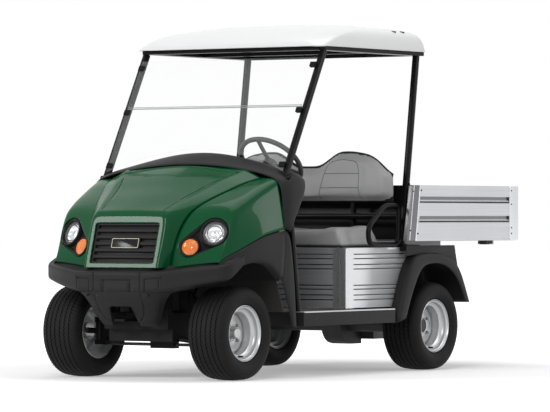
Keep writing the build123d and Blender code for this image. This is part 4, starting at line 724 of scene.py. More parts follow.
def spun(bm, profile, centre, aim, count=64):
    """Adds a profile of (out, radius) points in millimetres, turned about an aim through a centre."""
    turn = Matrix.Translation(Vector(centre) * MM) @ Vector(aim).to_track_quat("Z", "Y").to_matrix().to_4x4()
    rings = []
    for out, radius in profile:
        if radius < 0.05:
            rings.append([bm.verts.new(turn @ Vector((0, 0, out * MM)))])
        else:
            angles, reach = [math.tau * k / count for k in range(count)], radius * MM
            spots = [Vector((reach * math.cos(angle), reach * math.sin(angle), out * MM)) for angle in angles]
            rings.append([bm.verts.new(turn @ spot) for spot in spots])
    for a, b in zip(rings, rings[1:]):
        for k in range(count if len(a) + len(b) > 2 else 0):
            n = (k + 1) % count
            if len(a) == 1:
                bm.faces.new((a[0], b[n], b[k]))
            elif len(b) == 1:
                bm.faces.new((a[k], a[n], b[0]))
            else:
                bm.faces.new((a[k], a[n], b[n], b[k]))


bezel_profile = ((-14, 60.2), (-14, 71), (0, 70), (6, 68), (7, 65), (5, 62), (-4, 60.4), (-14, 60.2))
collar_profile = ((-22, 42.2), (-22, 50), (-5, 49), (1, 47), (2, 45), (0, 43), (-22, 42.2))
bowl_profile = ((-6, 59.6), (-10, 58), (-12, 52), (-12, 47), (-20, 45.5), (-22, 46), (-14, 60), (-6, 59.6))
mirror_profile = (
    (-13, 46.5), (-22, 41), (-30, 31), (-34, 18), (-35, 12), (-37, 12), (-36, 20), (-31, 33), (-23, 43),
    (-13, 46.5),
)
projector_profile = ((-36, 13), (-24, 13.5), (-19, 12), (-17, 8), (-16, 0))
lens_profile = ((-5, 59.6), (-2, 56), (3, 44), (7, 28), (9, 12), (9.4, 0))
rim_levels = ((-30, -0.5), (0, -0.5), (2, -1.2), (2.5, -3), (1, -6), (-9, -11), (-14, -14), (-30, -14))
turn_profile = (
    (-30, 41.5), (0, 42), (5, 41), (7.5, 37), (6, 34), (8.5, 30), (7.5, 26), (10, 22), (9, 17), (11, 12),
    (11.5, 0),
)
for side, name in ((1, "left"), (-1, "right")):
    aim = Vector((AIM.x * side, AIM.y, AIM.z))
    lamp, turn = Vector((LAMP.x * side, LAMP.y, LAMP.z)), Vector((TURN.x * side, TURN.y, TURN.z))
    for label, profile, centre, material, node, slot in (
        ("lamp_bezel_", bezel_profile, lamp, trim, "lamp_bezels", "trim_black"),
        ("turn_collar_", collar_profile, turn + aim * 8, trim, "lamp_bezels", "trim_black"),
        ("lamp_bowl_", bowl_profile, lamp, gloss_black, "head_lamps", "lamp_clear"),
        ("lamp_mirror_", mirror_profile, lamp, chrome, "head_lamps", "lamp_clear"),
        ("lamp_projector_", projector_profile, lamp, chrome, "head_lamps", "lamp_clear"),
        ("lamp_lens_", lens_profile, lamp, lens, "head_lamps", "lamp_clear"),
        ("turn_lamp_", turn_profile, turn, amber, "turn_lamps", "lamp_amber"),
    ):
        bm = bmesh.new()
        spun(bm, profile, centre, aim)
        piece = mesh_piece(label + name, bm, material, sharp=40)
        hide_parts(node)
        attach(piece, "chassis")

    bm = bmesh.new()
    lamp_box(bm, side, rim_levels, hollow=True)
    rim = mesh_piece("lamp_rim_" + name, bm, trim, sharp=40)
    bm = bmesh.new()
    lamp_box(bm, side, ((-22, -13), (-15.5, -13.2)))
    plate = mesh_piece("lamp_plate_" + name, bm, trim, sharp=40)
    for centre, radius in ((lamp, bezel_profile[0][1]), (turn, collar_profile[0][1])):
        bm = bmesh.new()
        rod(bm, centre - aim * 60, centre + aim * 30, radius, 64)
        carve(plate, [mesh_piece("cutter", bm, trim)])
    for piece in (rim, plate):
        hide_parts("lamp_bezels")
        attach(piece, "chassis")

# Front bumper: a wrap-round cover in textured black plastic with a lower chin, bolted to the frame's arms.
# Its face has three outlined panels, a turned top lip and thin seams; the chin has the tow slot.


def slab(bm, points, low, high, along="x", soft=1.5, steps=2):
    """Adds a bevelled block with an outline of point pairs in millimetres, square to one direction."""
    order = {"x": (2, 0, 1), "y": (0, 2, 1), "z": (0, 1, 2)}[along]
    rings = []
    for level in (low, high):
        ring = []
        for a, b in points:
            given = (a, b, level)
            ring.append(bm.verts.new([given[k] * MM for k in order]))
        rings.append(ring)
    faces = [bm.faces.new(rings[0]), bm.faces.new(rings[1][::-1])]
    count = len(points)
    for k in range(count):
        faces.append(
            bm.faces.new((rings[0][k], rings[0][(k + 1) % count], rings[1][(k + 1) % count], rings[1][k])),
        )
    bmesh.ops.recalc_face_normals(bm, faces=faces)
    if soft:
        edges = list(dict.fromkeys(edge for face in faces for edge in face.edges))
        bmesh.ops.bevel(
            bm, geom=edges, offset=soft * MM, segments=steps, profile=0.6, affect="EDGES", clamp_overlap=True,
        )


def block(bm, low, high, soft=1.5):
    """Adds a bevelled box between two corners in millimetres."""
    (x, y, z), (far_x, far_y, far_z) = low, high
    slab(bm, ((x, y), (far_x, y), (far_x, far_y), (x, far_y)), z, far_z, "z", soft)


bumper_half = (
    (
        (216, -1338, 558), (252, -1262, 558), (330, -1246, 564), (400, -1232, 572), (482, -1206, 580),
        (544, -1176, 584), (536, -1100, 612),
    ),
    (
        (220, -1340, 532), (259, -1272, 535), (330, -1266, 543), (400, -1252, 554), (486, -1226, 559),
        (548, -1194, 566), (546, -1100, 606),
    ),
    (
        (220, -1378, 529), (263, -1364, 532), (330, -1340, 539), (400, -1309, 548), (508, -1245, 560),
        (551, -1212, 564), (556, -1105, 605),
    ),
    (
        (220, -1388, 516), (264, -1376, 519), (331, -1351, 527), (401, -1320, 536), (511, -1254, 549),
        (553, -1216, 554), (560, -1105, 598),
    ),
    (
        (220, -1384, 478), (262, -1372, 481), (330, -1346, 490), (400, -1315, 500), (510, -1250, 516),
        (554, -1214, 524), (561, -1105, 585),
    ),
    (
        (220, -1389, 436), (262, -1378, 440), (331, -1352, 451), (400, -1322, 466), (510, -1255, 488),
        (554, -1214, 499), (562, -1105, 569),
    ),
    (
        (220, -1375, 425), (262, -1362, 430), (330, -1337, 442), (400, -1308, 458), (508, -1244, 481),
        (552, -1206, 493), (559, -1105, 565),
    ),
    (
        (220, -1336, 418), (262, -1321, 425), (330, -1296, 438), (400, -1271, 452), (504, -1223, 477),
        (547, -1194, 490), (552, -1105, 563),
    ),
)
bumper_middle = (
    (0, -1338, 558), (0, -1352, 532), (0, -1385, 529), (0, -1392, 516),
    (0, -1387, 478), (0, -1392.5, 436), (0, -1380, 425), (0, -1341, 418),
)
rows = [[row[j] for row in bumper_half] for j in range(6, -1, -1)]
rows = [other_side(row) for row in rows] + [list(bumper_middle)] + rows[::-1]
bumper = loft("bumper_bar", rows, trim, wall=7, pins=[(i, j, 1.0) for i in (0, 14) for j in (0, 7)])
chin_half = (
    ((0, -1384, 432), (212, -1379, 434), (268, -1350, 440), (300, -1308, 444)),
    ((0, -1379, 398), (190, -1374, 400), (220, -1340, 402), (234, -1300, 404)),
    ((0, -1344, 332), (172, -1338, 332), (192, -1308, 332), (196, -1276, 332)),
    ((0, -1314, 272), (148, -1308, 272), (160, -1284, 272), (166, -1252, 272)),
    ((0, -1300, 263), (140, -1296, 263), (152, -1274, 263), (160, -1250, 263)),
)
rows = [[row[j] for row in chin_half] for j in range(3, 0, -1)]
rows = [other_side(row) for row in rows] + [[row[0] for row in chin_half]] + rows[::-1]
chin = loft(
    "bumper_chin", rows, trim, pins=[(i, j, 1.0) for i in (0, 6) for j in (0, 4)], folds=((1, 0.4), (5, 0.4)),
)
bm = bmesh.new()
slab(bm, ((-89, 240), (-64, 358), (64, 358), (89, 240)), -1393, -1200, "y", 12, 4)
carve(chin, [mesh_piece("cutter", bm, trim)])
settle(bumper)
AHEAD, BEFORE_NOSE = Vector((0, 1, 0)), -1500
panels = [((-80, 404), (-80, 480), (80, 480), (80, 404), (0, 402), (-80, 404))]
for side in (1, -1):
    panels.append([(side * x, z) for x, z in ((168, 430), (168, 487), (245, 492), (245, 446), (168, 430))])
groove(bumper, panels, AHEAD, BEFORE_NOSE, 1.8, 3, closed=True)
lip_lines = (
    ((-82, 484), (0, 484), (82, 484)), ((-247, 496), (-200, 493), (-166, 490)),
    ((166, 490), (200, 493), (247, 496)),
)
groove(bumper, lip_lines, AHEAD, BEFORE_NOSE, 3.4, 3)
groove(bumper, [[(side * 138, z) for z in (524, 470, 434)] for side in (1, -1)], AHEAD, BEFORE_NOSE, 1.6)
chin_seam = ((138, 422), (139, 370), (132, 330), (112, 300), (84, 276))
groove(chin, [[(side * x, z) for x, z in chin_seam] for side in (1, -1)], AHEAD, BEFORE_NOSE, 1.6, 60)
bm = bmesh.new()
for x in (-180, 180):
    rod(bm, (x, -1377, 414), (x, -1383, 414), 6, 12)
for x in (-250, 250):
    rod(bm, (x, -1374, 500), (x, -1379, 500), 5, 12)
screws = mesh_piece("bumper_screws", bm, gloss_black)
for piece in (bumper, chin, screws):
    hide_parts("front_bumper")
    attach(piece, "chassis")

# Front arch flares: moulded strips in dark textured plastic, turned in round the wheel opening.
# Each is fixed under its fender, and a pillar carries it down to the rocker.
flare_rows = (
    (
        (493, -1226, 568), (503, -1196, 590), (515, -1172, 604), (523, -1154, 612), (533, -1122, 626),
        (545, -1080, 644), (555, -1042, 661), (569, -983, 687), (579, -923, 706), (591, -803.6, 727),
    ),
    (
        (498, -1226, 534), (508, -1206, 550), (520, -1184, 564), (528, -1162, 575), (542, -1130, 590),
        (556, -1086, 607), (568, -1043, 620), (580, -984, 633), (590, -925, 636), (599, -820, 610),
    ),
    (
        (497, -1227, 502), (505, -1213, 512), (518, -1192, 526), (530, -1172, 538), (545, -1140, 552),
        (560, -1090, 569), (572, -1045, 579), (585, -985, 579), (592, -925, 564), (598, -837, 494),
    ),
    (
        (492, -1226, 499), (500, -1212, 509), (513, -1191, 523), (525, -1171, 535), (540, -1139, 549),
        (555, -1089, 566), (567, -1044, 576), (580, -984, 576), (587, -924, 561), (593, -838, 491),
    ),
    (
        (458, -1226, 498), (465, -1212, 508), (478, -1191, 522), (490, -1171, 534), (505, -1139, 548),
        (520, -1089, 565), (532, -1044, 575), (545, -984, 575), (552, -924, 560), (558, -838, 490),
    ),
)
pillar_rows = (
    (
        (589, -803, 724), (600, -780, 711), (602, -762, 600), (602, -745, 480), (602, -734, 350),
        (602, -727, 252),
    ),
    (
        (597, -818, 610), (602, -800, 560), (603, -788, 500), (603, -772, 420), (603, -760, 340),
        (603, -750, 252),
    ),
    (
        (598, -835, 492), (600, -803, 420), (601, -786, 372), (601, -772, 340), (601, -757, 292),
        (601, -748, 252),
    ),
    (
        (592, -836, 490), (594, -804, 418), (595, -787, 370), (595, -773, 338), (595, -758, 290),
        (595, -749, 252),
    ),
)
for side, name in ((1, "left"), (-1, "right")):
    for rows, label in ((flare_rows, "front_flare_"), (pillar_rows, "flare_pillar_")):
        rows = [list(row) for row in rows]
        if side < 0:
            rows = [other_side(row) for row in rows][::-1]
        last, row_end = len(rows) - 1, len(rows[0]) - 1
        flare = loft(
            label + name, rows, trim, level=2, pins=[(i, j, 1.0) for i in (0, last) for j in (0, row_end)],
        )
        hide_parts("front_flares")
        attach(flare, "chassis")

# Dashboard and cowl: one dark textured moulding across the cab, crowned in the middle.
# It has a blank switch panel by the column, a tray's front on the other side, and slots for the struts.
dash_half = (
    (
        (588, -803, 732), (572, -803, 860), (566, -803, 962), (500, -803, 988), (407, -803, 1014),
        (201, -803, 1043), (0, -803, 1053),
    ),
    (
        (594, -795, 730), (598, -765, 880), (592, -745, 982), (500, -750, 1016), (412, -752, 1032),
        (200, -755, 1072), (0, -755, 1088),
    ),
    (
        (600, -786, 728), (603, -720, 890), (603, -674, 990), (510, -673, 1020), (420, -673, 1044),
        (200, -673, 1099), (0, -673, 1120),
    ),
    (
        (602, -774, 722), (603, -680, 880), (602, -612, 982), (510, -610, 1008), (420, -608, 1032),
        (200, -608, 1086), (0, -608, 1106),
    ),
    (
        (585, -774, 722), (585, -660, 840), (584, -610, 944), (505, -607, 966), (416, -607, 985),
        (200, -607, 1040), (0, -607, 1060),
    ),
    (
        (562, -774, 722), (562, -700, 800), (562, -616, 862), (500, -616, 862), (410, -616, 862),
        (200, -616, 862), (0, -616, 862),
    ),
)
rows = [list(row) + other_side(row[-2::-1]) for row in dash_half]
dash = loft(
    "cowl", rows, trim, level=2, pins=[(i, j, 1.0) for i in (0, 5) for j in (0, 12)],
    folds=((2, 0.15), (3, 0.3)),
)
FRONT_STRUT_X, STRUT_FOOT_X, SLOT_HALF = 541, 556, 21
strut_slots = (
    (FRONT_STRUT_X, ((-768, 962), (-735, 944), (-565, 1254), (-598, 1272))),
    (STRUT_FOOT_X, ((-756, 982), (-722, 976), (-681, 722), (-716, 714))),
)
cutters = []
for side in (1, -1):
    for x, points in strut_slots:
        bm = bmesh.new()
        slab(bm, points, side * x - SLOT_HALF, side * x + SLOT_HALF, soft=0)
        cutters.append(mesh_piece("cutter", bm, trim))
carve(dash, cutters)
bm = bmesh.new()
slab(bm, ((-604, 905), (-604, 1010), (-600, 1018), (-575, 1008), (-572, 915)), 60, 160, soft=5)
slab(bm, ((-604, 900), (-600, 1000), (-582, 990), (-580, 905)), -430, -150, soft=6)
for x in (85, 110, 135):
    rod(bm, (x, -572, 950), (x, -566, 950), 7, 20)
switches = mesh_piece("switch_panel", bm, gloss_black)
for piece in (dash, switches):
    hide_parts("dashboard")
    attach(piece, "chassis")

# Rear fenders: textured black mouldings with a rolled lip over each wheel and a panel that rises to the bed.
# Inboard, a skirt closes each arch down to a circle round the axle.
SKIRT_RADIUS = 190
arch_out = (
    (192, 254), (243, 400), (300, 520), (352, 590), (412, 608), (552, 612), (660, 600), (740, 579),
    (790, 540), (820, 503), (864, 420), (901, 348),
)
panel_outline = ((302, 592), (380, 598), (552, 600), (740, 567), (812, 510), (773, 645), (302, 645))
arch_in = (
    (272, 277), (330, 400), (390, 492), (435, 538), (500, 552), (592, 555), (680, 536), (750, 494),
    (790, 450), (812, 418), (834, 384), (851, 349),
)
for side, name in ((1, "left"), (-1, "right")):
    spread = [SKIRT_RADIUS / math.hypot(y - REAR_AXLE_Y, z - HUB_Z) for y, z in arch_out]
    lip = [(y, z, a - y, b - z) for (y, z), (a, b) in zip(arch_out, arch_in)]
    rows = [
        [
            (370, REAR_AXLE_Y + (y - REAR_AXLE_Y) * share, HUB_Z + (z - HUB_Z) * share)
            for (y, z), share in zip(arch_out, spread)
        ],
        [(374, y, z - 2) for y, z in arch_out],
        [(560, y, z) for y, z in arch_out],
        *[
            [(x, y + a * share, z + b * share) for y, z, a, b in lip]
            for x, share in ((609, 0.04), (618.5, 0.2), (619.5, 0.8))
        ],
        [(616, a, b) for a, b in arch_in],
        [(611, a, b) for a, b in arch_in],
    ]
    rows = rows[::-1] if side > 0 else [other_side(row) for row in rows]
    lip_row = 6 if side > 0 else 1
    arch = loft(
        "rear_arch_" + name, rows, trim, level=2, wall=4, pins=[(i, j, 1.0) for i in (0, 7) for j in (0, 11)],
        folds=((lip_row, 0.5),),
    )
    bm = bmesh.new()
    slab(bm, panel_outline, side * 592, side * 597)
    panel = mesh_piece("fender_panel_" + name, bm, trim)
    for piece in (arch, panel):
        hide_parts("rear_fenders")
        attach(piece, "chassis")

# Canopy struts, restraints and rails: bent steel tube, powder coated black, clamped to frame and roof.
# The restraints are closed loops on the seat base, and the rear beam carries the bed's front edge.
coat_black = coated(
    "powder_black", (0.006, 0.006, 0.0063), 0.33, 700, 0.0002, tone=0.1, Specular_IOR_Level=0.1,
)
REAR_STRUT_X, LOOP_X, BACK_TUBE_X = 525, 560, 260
strut_upper = ((-744, 968), (-730, 993), (-560, 1300), (-391, 1606), (-384, 1620))
strut_lower = (
    (STRUT_FOOT_X, -641, 328), (STRUT_FOOT_X, -662, 470), (STRUT_FOOT_X, -698, 720),
    (STRUT_FOOT_X, -720, 850), (553, -739, 966), (546, -739, 990),
)
strut_rear = ((367, 651), (403, 890), (440, 1140), (507, 1600), (510, 1621))
(foot_y, foot_z), REAR_LEAN = strut_rear[0], 0.151


def strut_tube(bm, side, points, turn):
    """Adds a squared strut tube through points given for the left side."""
    tube(bm, bent([(side * x, y, z) for x, y, z in points], turn), 15.4, 24, flat=1.05, square=0.45)


for side, name in ((1, "left"), (-1, "right")):
    bm = bmesh.new()
    strut_tube(bm, side, [(FRONT_STRUT_X, y, z) for y, z in strut_upper], 18)
    strut_tube(bm, side, strut_lower, 60)
    rod(bm, (side * 524, -727, 985), (side * 574, -727, 985), 15, 24)
    rod(bm, (side * 572, -727, 985), (side * 576, -727, 985), 8, 6)
    strut = mesh_piece("front_strut_" + name, bm, coat_black)
    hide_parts("front_struts")
    bm = bmesh.new()
    strut_tube(bm, side, [(REAR_STRUT_X, y, z) for y, z in strut_rear], 90)
    block(bm, (side * REAR_STRUT_X - 20, 340, 650.5), (side * REAR_STRUT_X + 20, 392, 655), 1)
    for z in (700, 780, 900, 960):
        y = foot_y + (z - foot_z) * REAR_LEAN
        rod(bm, (side * (REAR_STRUT_X + 16), y, z), (side * (REAR_STRUT_X + 21), y, z), 7, 6)
    rear = mesh_piece("rear_strut_" + name, bm, coat_black)
    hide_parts("rear_struts")
    bm = bmesh.new()
    x = side * LOOP_X
    corners = [(x, 40, 650), (x, 282, 650), (x, 287, 848), (x, 150, 850), (x, -4, 738), (x, 4, 664)]
    ring = bent([(x, 150, 650)] + corners[1:] + [corners[0], (x, 149.5, 650)], 44, 8)
    tube(bm, ring[:-1], 13.4, closed=True)
    for z in (690, 780):
        rod(bm, (x, 284, z), (side * 543, 300, z), 6, 12)
    loop = mesh_piece("hip_restraint_" + name, bm, coat_black)
    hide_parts("hip_restraints")
    for piece in (strut, rear, loop):
        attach(piece, "chassis")
bm = bmesh.new()
rod(bm, (-545, 297, 796), (545, 297, 796), 15.8, 32)
for side in (1, -1):
    x = side * BACK_TUBE_X
    tube(bm, bent([(x, 326, 652), (x, 326, 800), (x, 327, 1008)], 10), 11, 16, square=0.7)
    block(bm, (x - 16, 297, 789), (x + 16, 330, 803), 1)
frame_piece = mesh_piece("seat_back_tubes", bm, coat_black)
bm = bmesh.new()
block(bm, (-592, 300, 616), (592, 440, 650), 3)
for side in (1, -1):
    low, high = sorted((side * 150, side * 190))
    block(bm, (low, 402, 410), (high, 440, 616), 2)
    for x in (240, 480, 560):
        rod(bm, (side * x, 299, 633), (side * x, 295, 633), 8, 6)
beam = mesh_piece("rear_beam_tube", bm, coat_black)
for piece, node in ((frame_piece, "seat_back_frame"), (beam, "rear_beam")):
    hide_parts(node)
    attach(piece, "chassis")

# Floor, rockers and seat base: a black rubber mat, black rocker mouldings with a bright top strip,
# and ribbed aluminium panels with a rounded bright corner post on each side of the seat base.
DRAWN, given, result = effect(
    "drawn_metal",
    (("Along", "NodeSocketVector", (1.0, 1.0, 1.0)), ("Soil", "NodeSocketFloat", 0.2)),
    (("Streak", "NodeSocketFloat"), ("Tone", "NodeSocketFloat")),
)
place, stretch = put(DRAWN, "ShaderNodeTexCoord"), put(DRAWN, "ShaderNodeVectorMath", operation="MULTIPLY")
fine = put(DRAWN, "ShaderNodeTexNoise")
slow = put(DRAWN, "ShaderNodeTexNoise")
sum_up = put(DRAWN, "ShaderNodeMath", operation="MULTIPLY_ADD")
preset(fine, {"Scale": 1.0, "Detail": 6})
preset(slow, {"Scale": 3.5})
wire(
    DRAWN, (place, "Object", stretch, 0), (given, "Along", stretch, 1), (stretch, 0, fine, "Vector"),
    (place, "Object", slow, "Vector"), (slow, "Fac", sum_up, 0), (given, "Soil", sum_up, 1),
    (fine, "Fac", sum_up, 2), (fine, "Fac", result, "Streak"), (sum_up, 0, result, "Tone"),
)


def drawn(name, low, high, along, rough, metal):
    """Extruded aluminium: fine streaks along the drawing direction in tone, gloss and relief."""
    material, tree, body = principled(name)
    preset(body, {"Metallic": metal})
    streak = put(tree, "ShaderNodeGroup", node_tree=DRAWN)
    preset(streak, {"Along": along})
    shade, dull = put(tree, "ShaderNodeMix", data_type="RGBA"), put(tree, "ShaderNodeMapRange")
    preset(shade, {COLOR_A: (*low, 1), COLOR_B: (*high, 1)})
    preset(dull, {"To Min": rough * 0.7, "To Max": rough * 1.3})
    bump = put(tree, "ShaderNodeBump")
    preset(bump, {"Strength": 0.25, "Distance": 0.0004})
    wire(
        tree, (streak, "Tone", shade, 0), (shade, MIXED, body, "Base Color"),
        (streak, "Streak", dull, "Value"), (dull, "Result", body, "Roughness"),
        (streak, "Streak", bump, "Height"), (bump, "Normal", body, "Normal"),
    )
    return material


bright = drawn("drawn_bright", (0.42, 0.425, 0.45), (0.68, 0.69, 0.715), (1.5, 1.2, 420), 0.36, 0.6)
cross_drawn = drawn("drawn_across", (0.42, 0.425, 0.45), (0.68, 0.69, 0.715), (1.2, 1.5, 420), 0.36, 0.6)
# A lighter, less metallic copy of the drawn aluminium for the seat base's sides: painted light, as the sides
# face the lamps.
lit_side_drawn = drawn("drawn_side_lit", (0.6, 0.61, 0.63), (0.84, 0.85, 0.87), (1.5, 1.2, 420), 0.38, 0.5)
# A dark copy of the drawn aluminium stands for the same metal in shade: painted shade on the bed floor, the
# front posts under the roof and the strips in the bed's channels.
shaded_drawn = drawn("drawn_painted_shade", (0.13, 0.13, 0.137), (0.17, 0.17, 0.178), (90, 90, 1.0), 0.34, 0.55)
post_drawn = drawn("drawn_upright", (0.6, 0.61, 0.63), (0.68, 0.69, 0.71), (90, 90, 1.0), 0.28, 0.8)
rubber_mat = coated("floor_mat", (0.014, 0.014, 0.014), 0.75, 260, 0.0008, dusty=0.5, tone=0.12)
dress(rubber_mat, "floor_pan")
bm = bmesh.new()
for side in (1, -1):
    low, high = sorted((side * 535, side * 610.5))
    slab(bm, ((-666, 255), (-666, 323), (175, 323), (175, 255)), low, high, soft=3, steps=3)
rocker = mesh_piece("rocker_covers", bm, trim)
bm = bmesh.new()
for side in (1, -1):
    low, high = sorted((side * 545, side * 611))
    slab(bm, ((-660, 321), (-660, 327), (172, 327), (172, 321)), low, high, soft=1.2)
strip = mesh_piece("rocker_strips", bm, bright)
bm = bmesh.new()
for side in (1, -1):
    for y in (-560, -200, 120):
        rod(bm, (side * 608, y, 290), (side * 611, y, 290), 6, 14)
rivets = mesh_piece("rocker_rivets", bm, gloss_black)
for piece in (rocker, strip, rivets):
    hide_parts("rockers")
    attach(piece, "chassis")


def ribs(top, bottom, out, back, grooves):
    """The outline of a drawn plank: a flat face with a rounded groove at each given height."""
    points = [(out, top)]
    for level in grooves:
        points += [(out, level + 3), (out - 3, level + 1.7), (out - 3, level - 1.7), (out, level - 3)]
    return points + [(out, bottom), (back, bottom), (back, top)]


base_grooves = (604, 582, 552, 530, 448, 428, 399, 375)
BASE_TOP, BASE_FOOT, BASE_SIDE_X, BASE_FRONT_Y = 634, 335, 559.5, -190
wheel_cutout = (
    (205, 320), (228, 335), (268, 450), (308, 520), (360, 590), (400, 607), (400, 640), (430, 640),
    (430, 320),
)
# The side panels take the lighter copy of the aluminium, painted light on their lit faces.
bm = bmesh.new()
for side in (1, -1):
    outline = [(side * x, z) for x, z in ribs(BASE_TOP, BASE_FOOT, BASE_SIDE_X, 556, base_grooves)]
    slab(bm, outline, -140, 420, "y", soft=0)
panels = mesh_piece("seat_base_sides", bm, lit_side_drawn, sharp=20)
bm = bmesh.new()
slab(bm, wheel_cutout, -600, 600, soft=0)
carve(panels, [mesh_piece("cutter", bm, bright)])
# Thin black strips down in the seat base's grooves, on the sides and the front: painted shade where the
# grooves read dark.
bm = bmesh.new()
for level in base_grooves:
    for side in (1, -1):
        back = 222 + (level - BASE_FOOT) * (0.4 if level < 520 else 0.48)
        block(bm, (side * 557.5 - 0.8, -139, level - 1.6), (side * 557.5 + 0.8, back, level + 1.6), 0)
    block(bm, (-469, -188.2, level - 1.6), (469, -187.2, level + 1.6), 0)
lines = mesh_piece("seat_base_groove_shade", bm, gloss_black)
bm = bmesh.new()
for side in (1, -1):
    low, high = sorted((side * 540, side * 559.8))
    block(bm, (low, 180, 626), (high, 400, 636), 1)
ends = mesh_piece("seat_base_ends", bm, bright)
bm = bmesh.new()
outline = [(-y, z) for y, z in ribs(BASE_TOP, BASE_FOOT, -BASE_FRONT_Y, 186.5, base_grooves)]
slab(bm, outline, -470, 470, soft=0)
front = mesh_piece("seat_base_front", bm, cross_drawn, sharp=20)
bm = bmesh.new()
for side in (1, -1):
    turns = [k * math.pi / 16 for k in range(9)]
    arc = [(538 + 22 * math.cos(a), BASE_FRONT_Y + 22 - 22 * math.sin(a)) for a in turns]
    inside = [(x - 0.12 * (x - 538), y + 3) for x, y in arc[::-1]]
    ring = [(560, -138)] + arc + [(470, BASE_FRONT_Y), (470, BASE_FRONT_Y + 3)] + inside + [(557, -138)]
    slab(bm, [(side * x, y) for x, y in ring], 333, 635, "z", soft=0)
posts = mesh_piece("seat_base_posts", bm, post_drawn, sharp=30)
bm = bmesh.new()
rounded(bm, 1118, 465, -4, 0, 12, Matrix.Translation((0, 0.0435, 0.636)), soft=1, hollow=88)
deck = mesh_piece("seat_base_deck", bm, cross_drawn)
for piece in (panels, lines, ends, front, posts, deck):
    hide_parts("seat_base")
    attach(piece, "chassis")

# Seats: foam pads under grey grained vinyl, puffed by a cloth simulation; the base lifts about its rear edge.
# Each half of the backrest has a horseshoe seam with two cross seams. A black moulded shell closes it
# behind, and the cushion lies on a black board.
vinyl = coated(
    "seat_vinyl", (0.37, 0.37, 0.372), 0.5, 420, 0.0007, tone=0.07, Sheen_Weight=0.15, Specular_IOR_Level=0.4,
)
thread = coated("seam_dark", (0.07, 0.07, 0.072), 0.6, 900, 0.0003, tone=0.1)
VOXEL, PRESSURE, LAST_FRAME = 10, 4, 20


def puff(piece, cap):
    """Remeshes a pad evenly, swells it under air pressure up to a cap in millimetres, and smooths it."""
    even = piece.modifiers.new("even", "REMESH")
    even.mode, even.voxel_size = "VOXEL", VOXEL * MM
    settle(piece)
    starts = [vert.co.copy() for vert in piece.data.vertices]
    cloth = piece.modifiers.new("air", "CLOTH")
    cloth.settings.use_pressure = True
    cloth.settings.uniform_pressure_force = PRESSURE
    cloth.settings.effector_weights.gravity = 0
    cloth.point_cache.frame_start, cloth.point_cache.frame_end = 1, LAST_FRAME
    for number in range(1, LAST_FRAME + 1):
        bpy.context.scene.frame_set(number)
    settle(piece)
    bpy.context.scene.frame_set(1)
    for vert, start in zip(piece.data.vertices, starts):
        move = vert.co - start
        if move.length > cap * MM:
            vert.co = start + move * (cap * MM / move.length)
    even = piece.modifiers.new("smooth", "SUBSURF")
    even.levels = even.render_levels = 1
    settle(piece)
    for face in piece.data.polygons:
        face.use_smooth = True


def ease(value, low, high):
    """Rises smoothly from 0 at low to 1 at high."""
    share = min(max((value - low) / (high - low), 0), 1)
    return share * share * (3 - 2 * share)


def pad(name, columns, rows, point, back):
    """A closed pad from a front sheet given by a function and a flat back sheet."""
    bm = bmesh.new()
    front = [
        [bm.verts.new(point(i / columns, j / rows)) for j in range(rows + 1)]
        for i in range(columns + 1)
    ]
    rear = [[bm.verts.new(back(i / columns, j / rows)) for j in range(rows + 1)] for i in range(columns + 1)]
    for i in range(columns):
        for j in range(rows):
            bm.faces.new((front[i][j], front[i + 1][j], front[i + 1][j + 1], front[i][j + 1]))
            bm.faces.new((rear[i][j], rear[i][j + 1], rear[i + 1][j + 1], rear[i + 1][j]))
    rim = [(i, 0) for i in range(columns)] + [(columns, j) for j in range(rows)]
    rim += [(i, rows) for i in range(columns, 0, -1)] + [(0, j) for j in range(rows, 0, -1)]
    for (a, b), (c, d) in zip(rim, rim[1:] + rim[:1]):
        bm.faces.new((front[a][b], rear[a][b], rear[c][d], front[c][d]))
    return mesh_piece(name, bm, vinyl)


def seat_plan(u, v, grow):
    """A point on the cushion's rounded plan, in millimetres."""
    x, y = (u - 0.5) * 2, (v - 0.5) * 2
    return x * (500 + grow), 38 + y * (178 + grow) - 5 * (1 - y) * (1 - abs(x) ** 3) * 0.5


def seat_top(u, v):
    """A point on the cushion's upper face, with its bolsters and its eased edges."""
    x, y = seat_plan(u, v, -10)
    side = 1 - ease(abs(x), 452, 490)
    front = ease(y, -150, -108)
    bolster = 16 * ease(abs(x), 300, 410) + 5 * (1 - ease(abs(x), 20, 110))
    height = 716 + bolster + 9 * ease(y, 60, 190)
    drop = 42 * (1 - side) + 46 * (1 - front) ** 2 + 18 * ease(y, 195, 228)
    return Vector((x * (1 + 0.02 * (side - 1)), y, height - drop)) * MM


def seat_foot(u, v):
    """A point on the cushion's flat lower face."""
    x, y = seat_plan(u, v, 0)
    return Vector((x, y, 644)) * MM


def top_line(x):
    """The height of the backrest's upper edge at a distance from the middle."""
    x = abs(x)
    dip = 1062 + 76 * ease(x, 40, 215)
    return dip - 105 * ease(x, 330, 545) ** 1.6 - 18 * ease(x, 250, 420)


def back_front(u, v):
    """A point on the backrest's front, with its bolsters and its lumbar swell."""
    x = (u - 0.5) * 2 * 528
    low, high = 862 + 12 * ease(abs(x), 430, 528), top_line(x) - 8
    z = low + (high - low) * v
    edge = ease(z, low - 2, low + 40) * (1 - ease(z, high - 46, high + 4)) * (1 - ease(abs(x), 478, 534))
    bolster = 12 * ease(abs(x), 345, 400) * (1 - ease(abs(x), 440, 528)) + 5 * (1 - ease(abs(x), 30, 130))
    lumbar = 8 * math.exp(-((z - 935) / 60) ** 2)
    return Vector((x, 303 - 38 * edge - (bolster + lumbar) * edge, z)) * MM


def back_rear(u, v):
    """A point on the backrest's flat rear face."""
    x = (u - 0.5) * 2 * 530
    low, high = 860 + 12 * ease(abs(x), 430, 528), top_line(x) - 6
    return Vector((x, 306, low + (high - low) * v)) * MM


cushion = pad("seat_cushion", 90, 40, seat_top, seat_foot)
backrest = pad("seat_backrest", 96, 32, back_front, back_rear)
puff(cushion, 8)
puff(backrest, 7)
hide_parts("seat_bottom")
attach(cushion, "seat")
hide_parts("seat_back")
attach(backrest, "chassis")


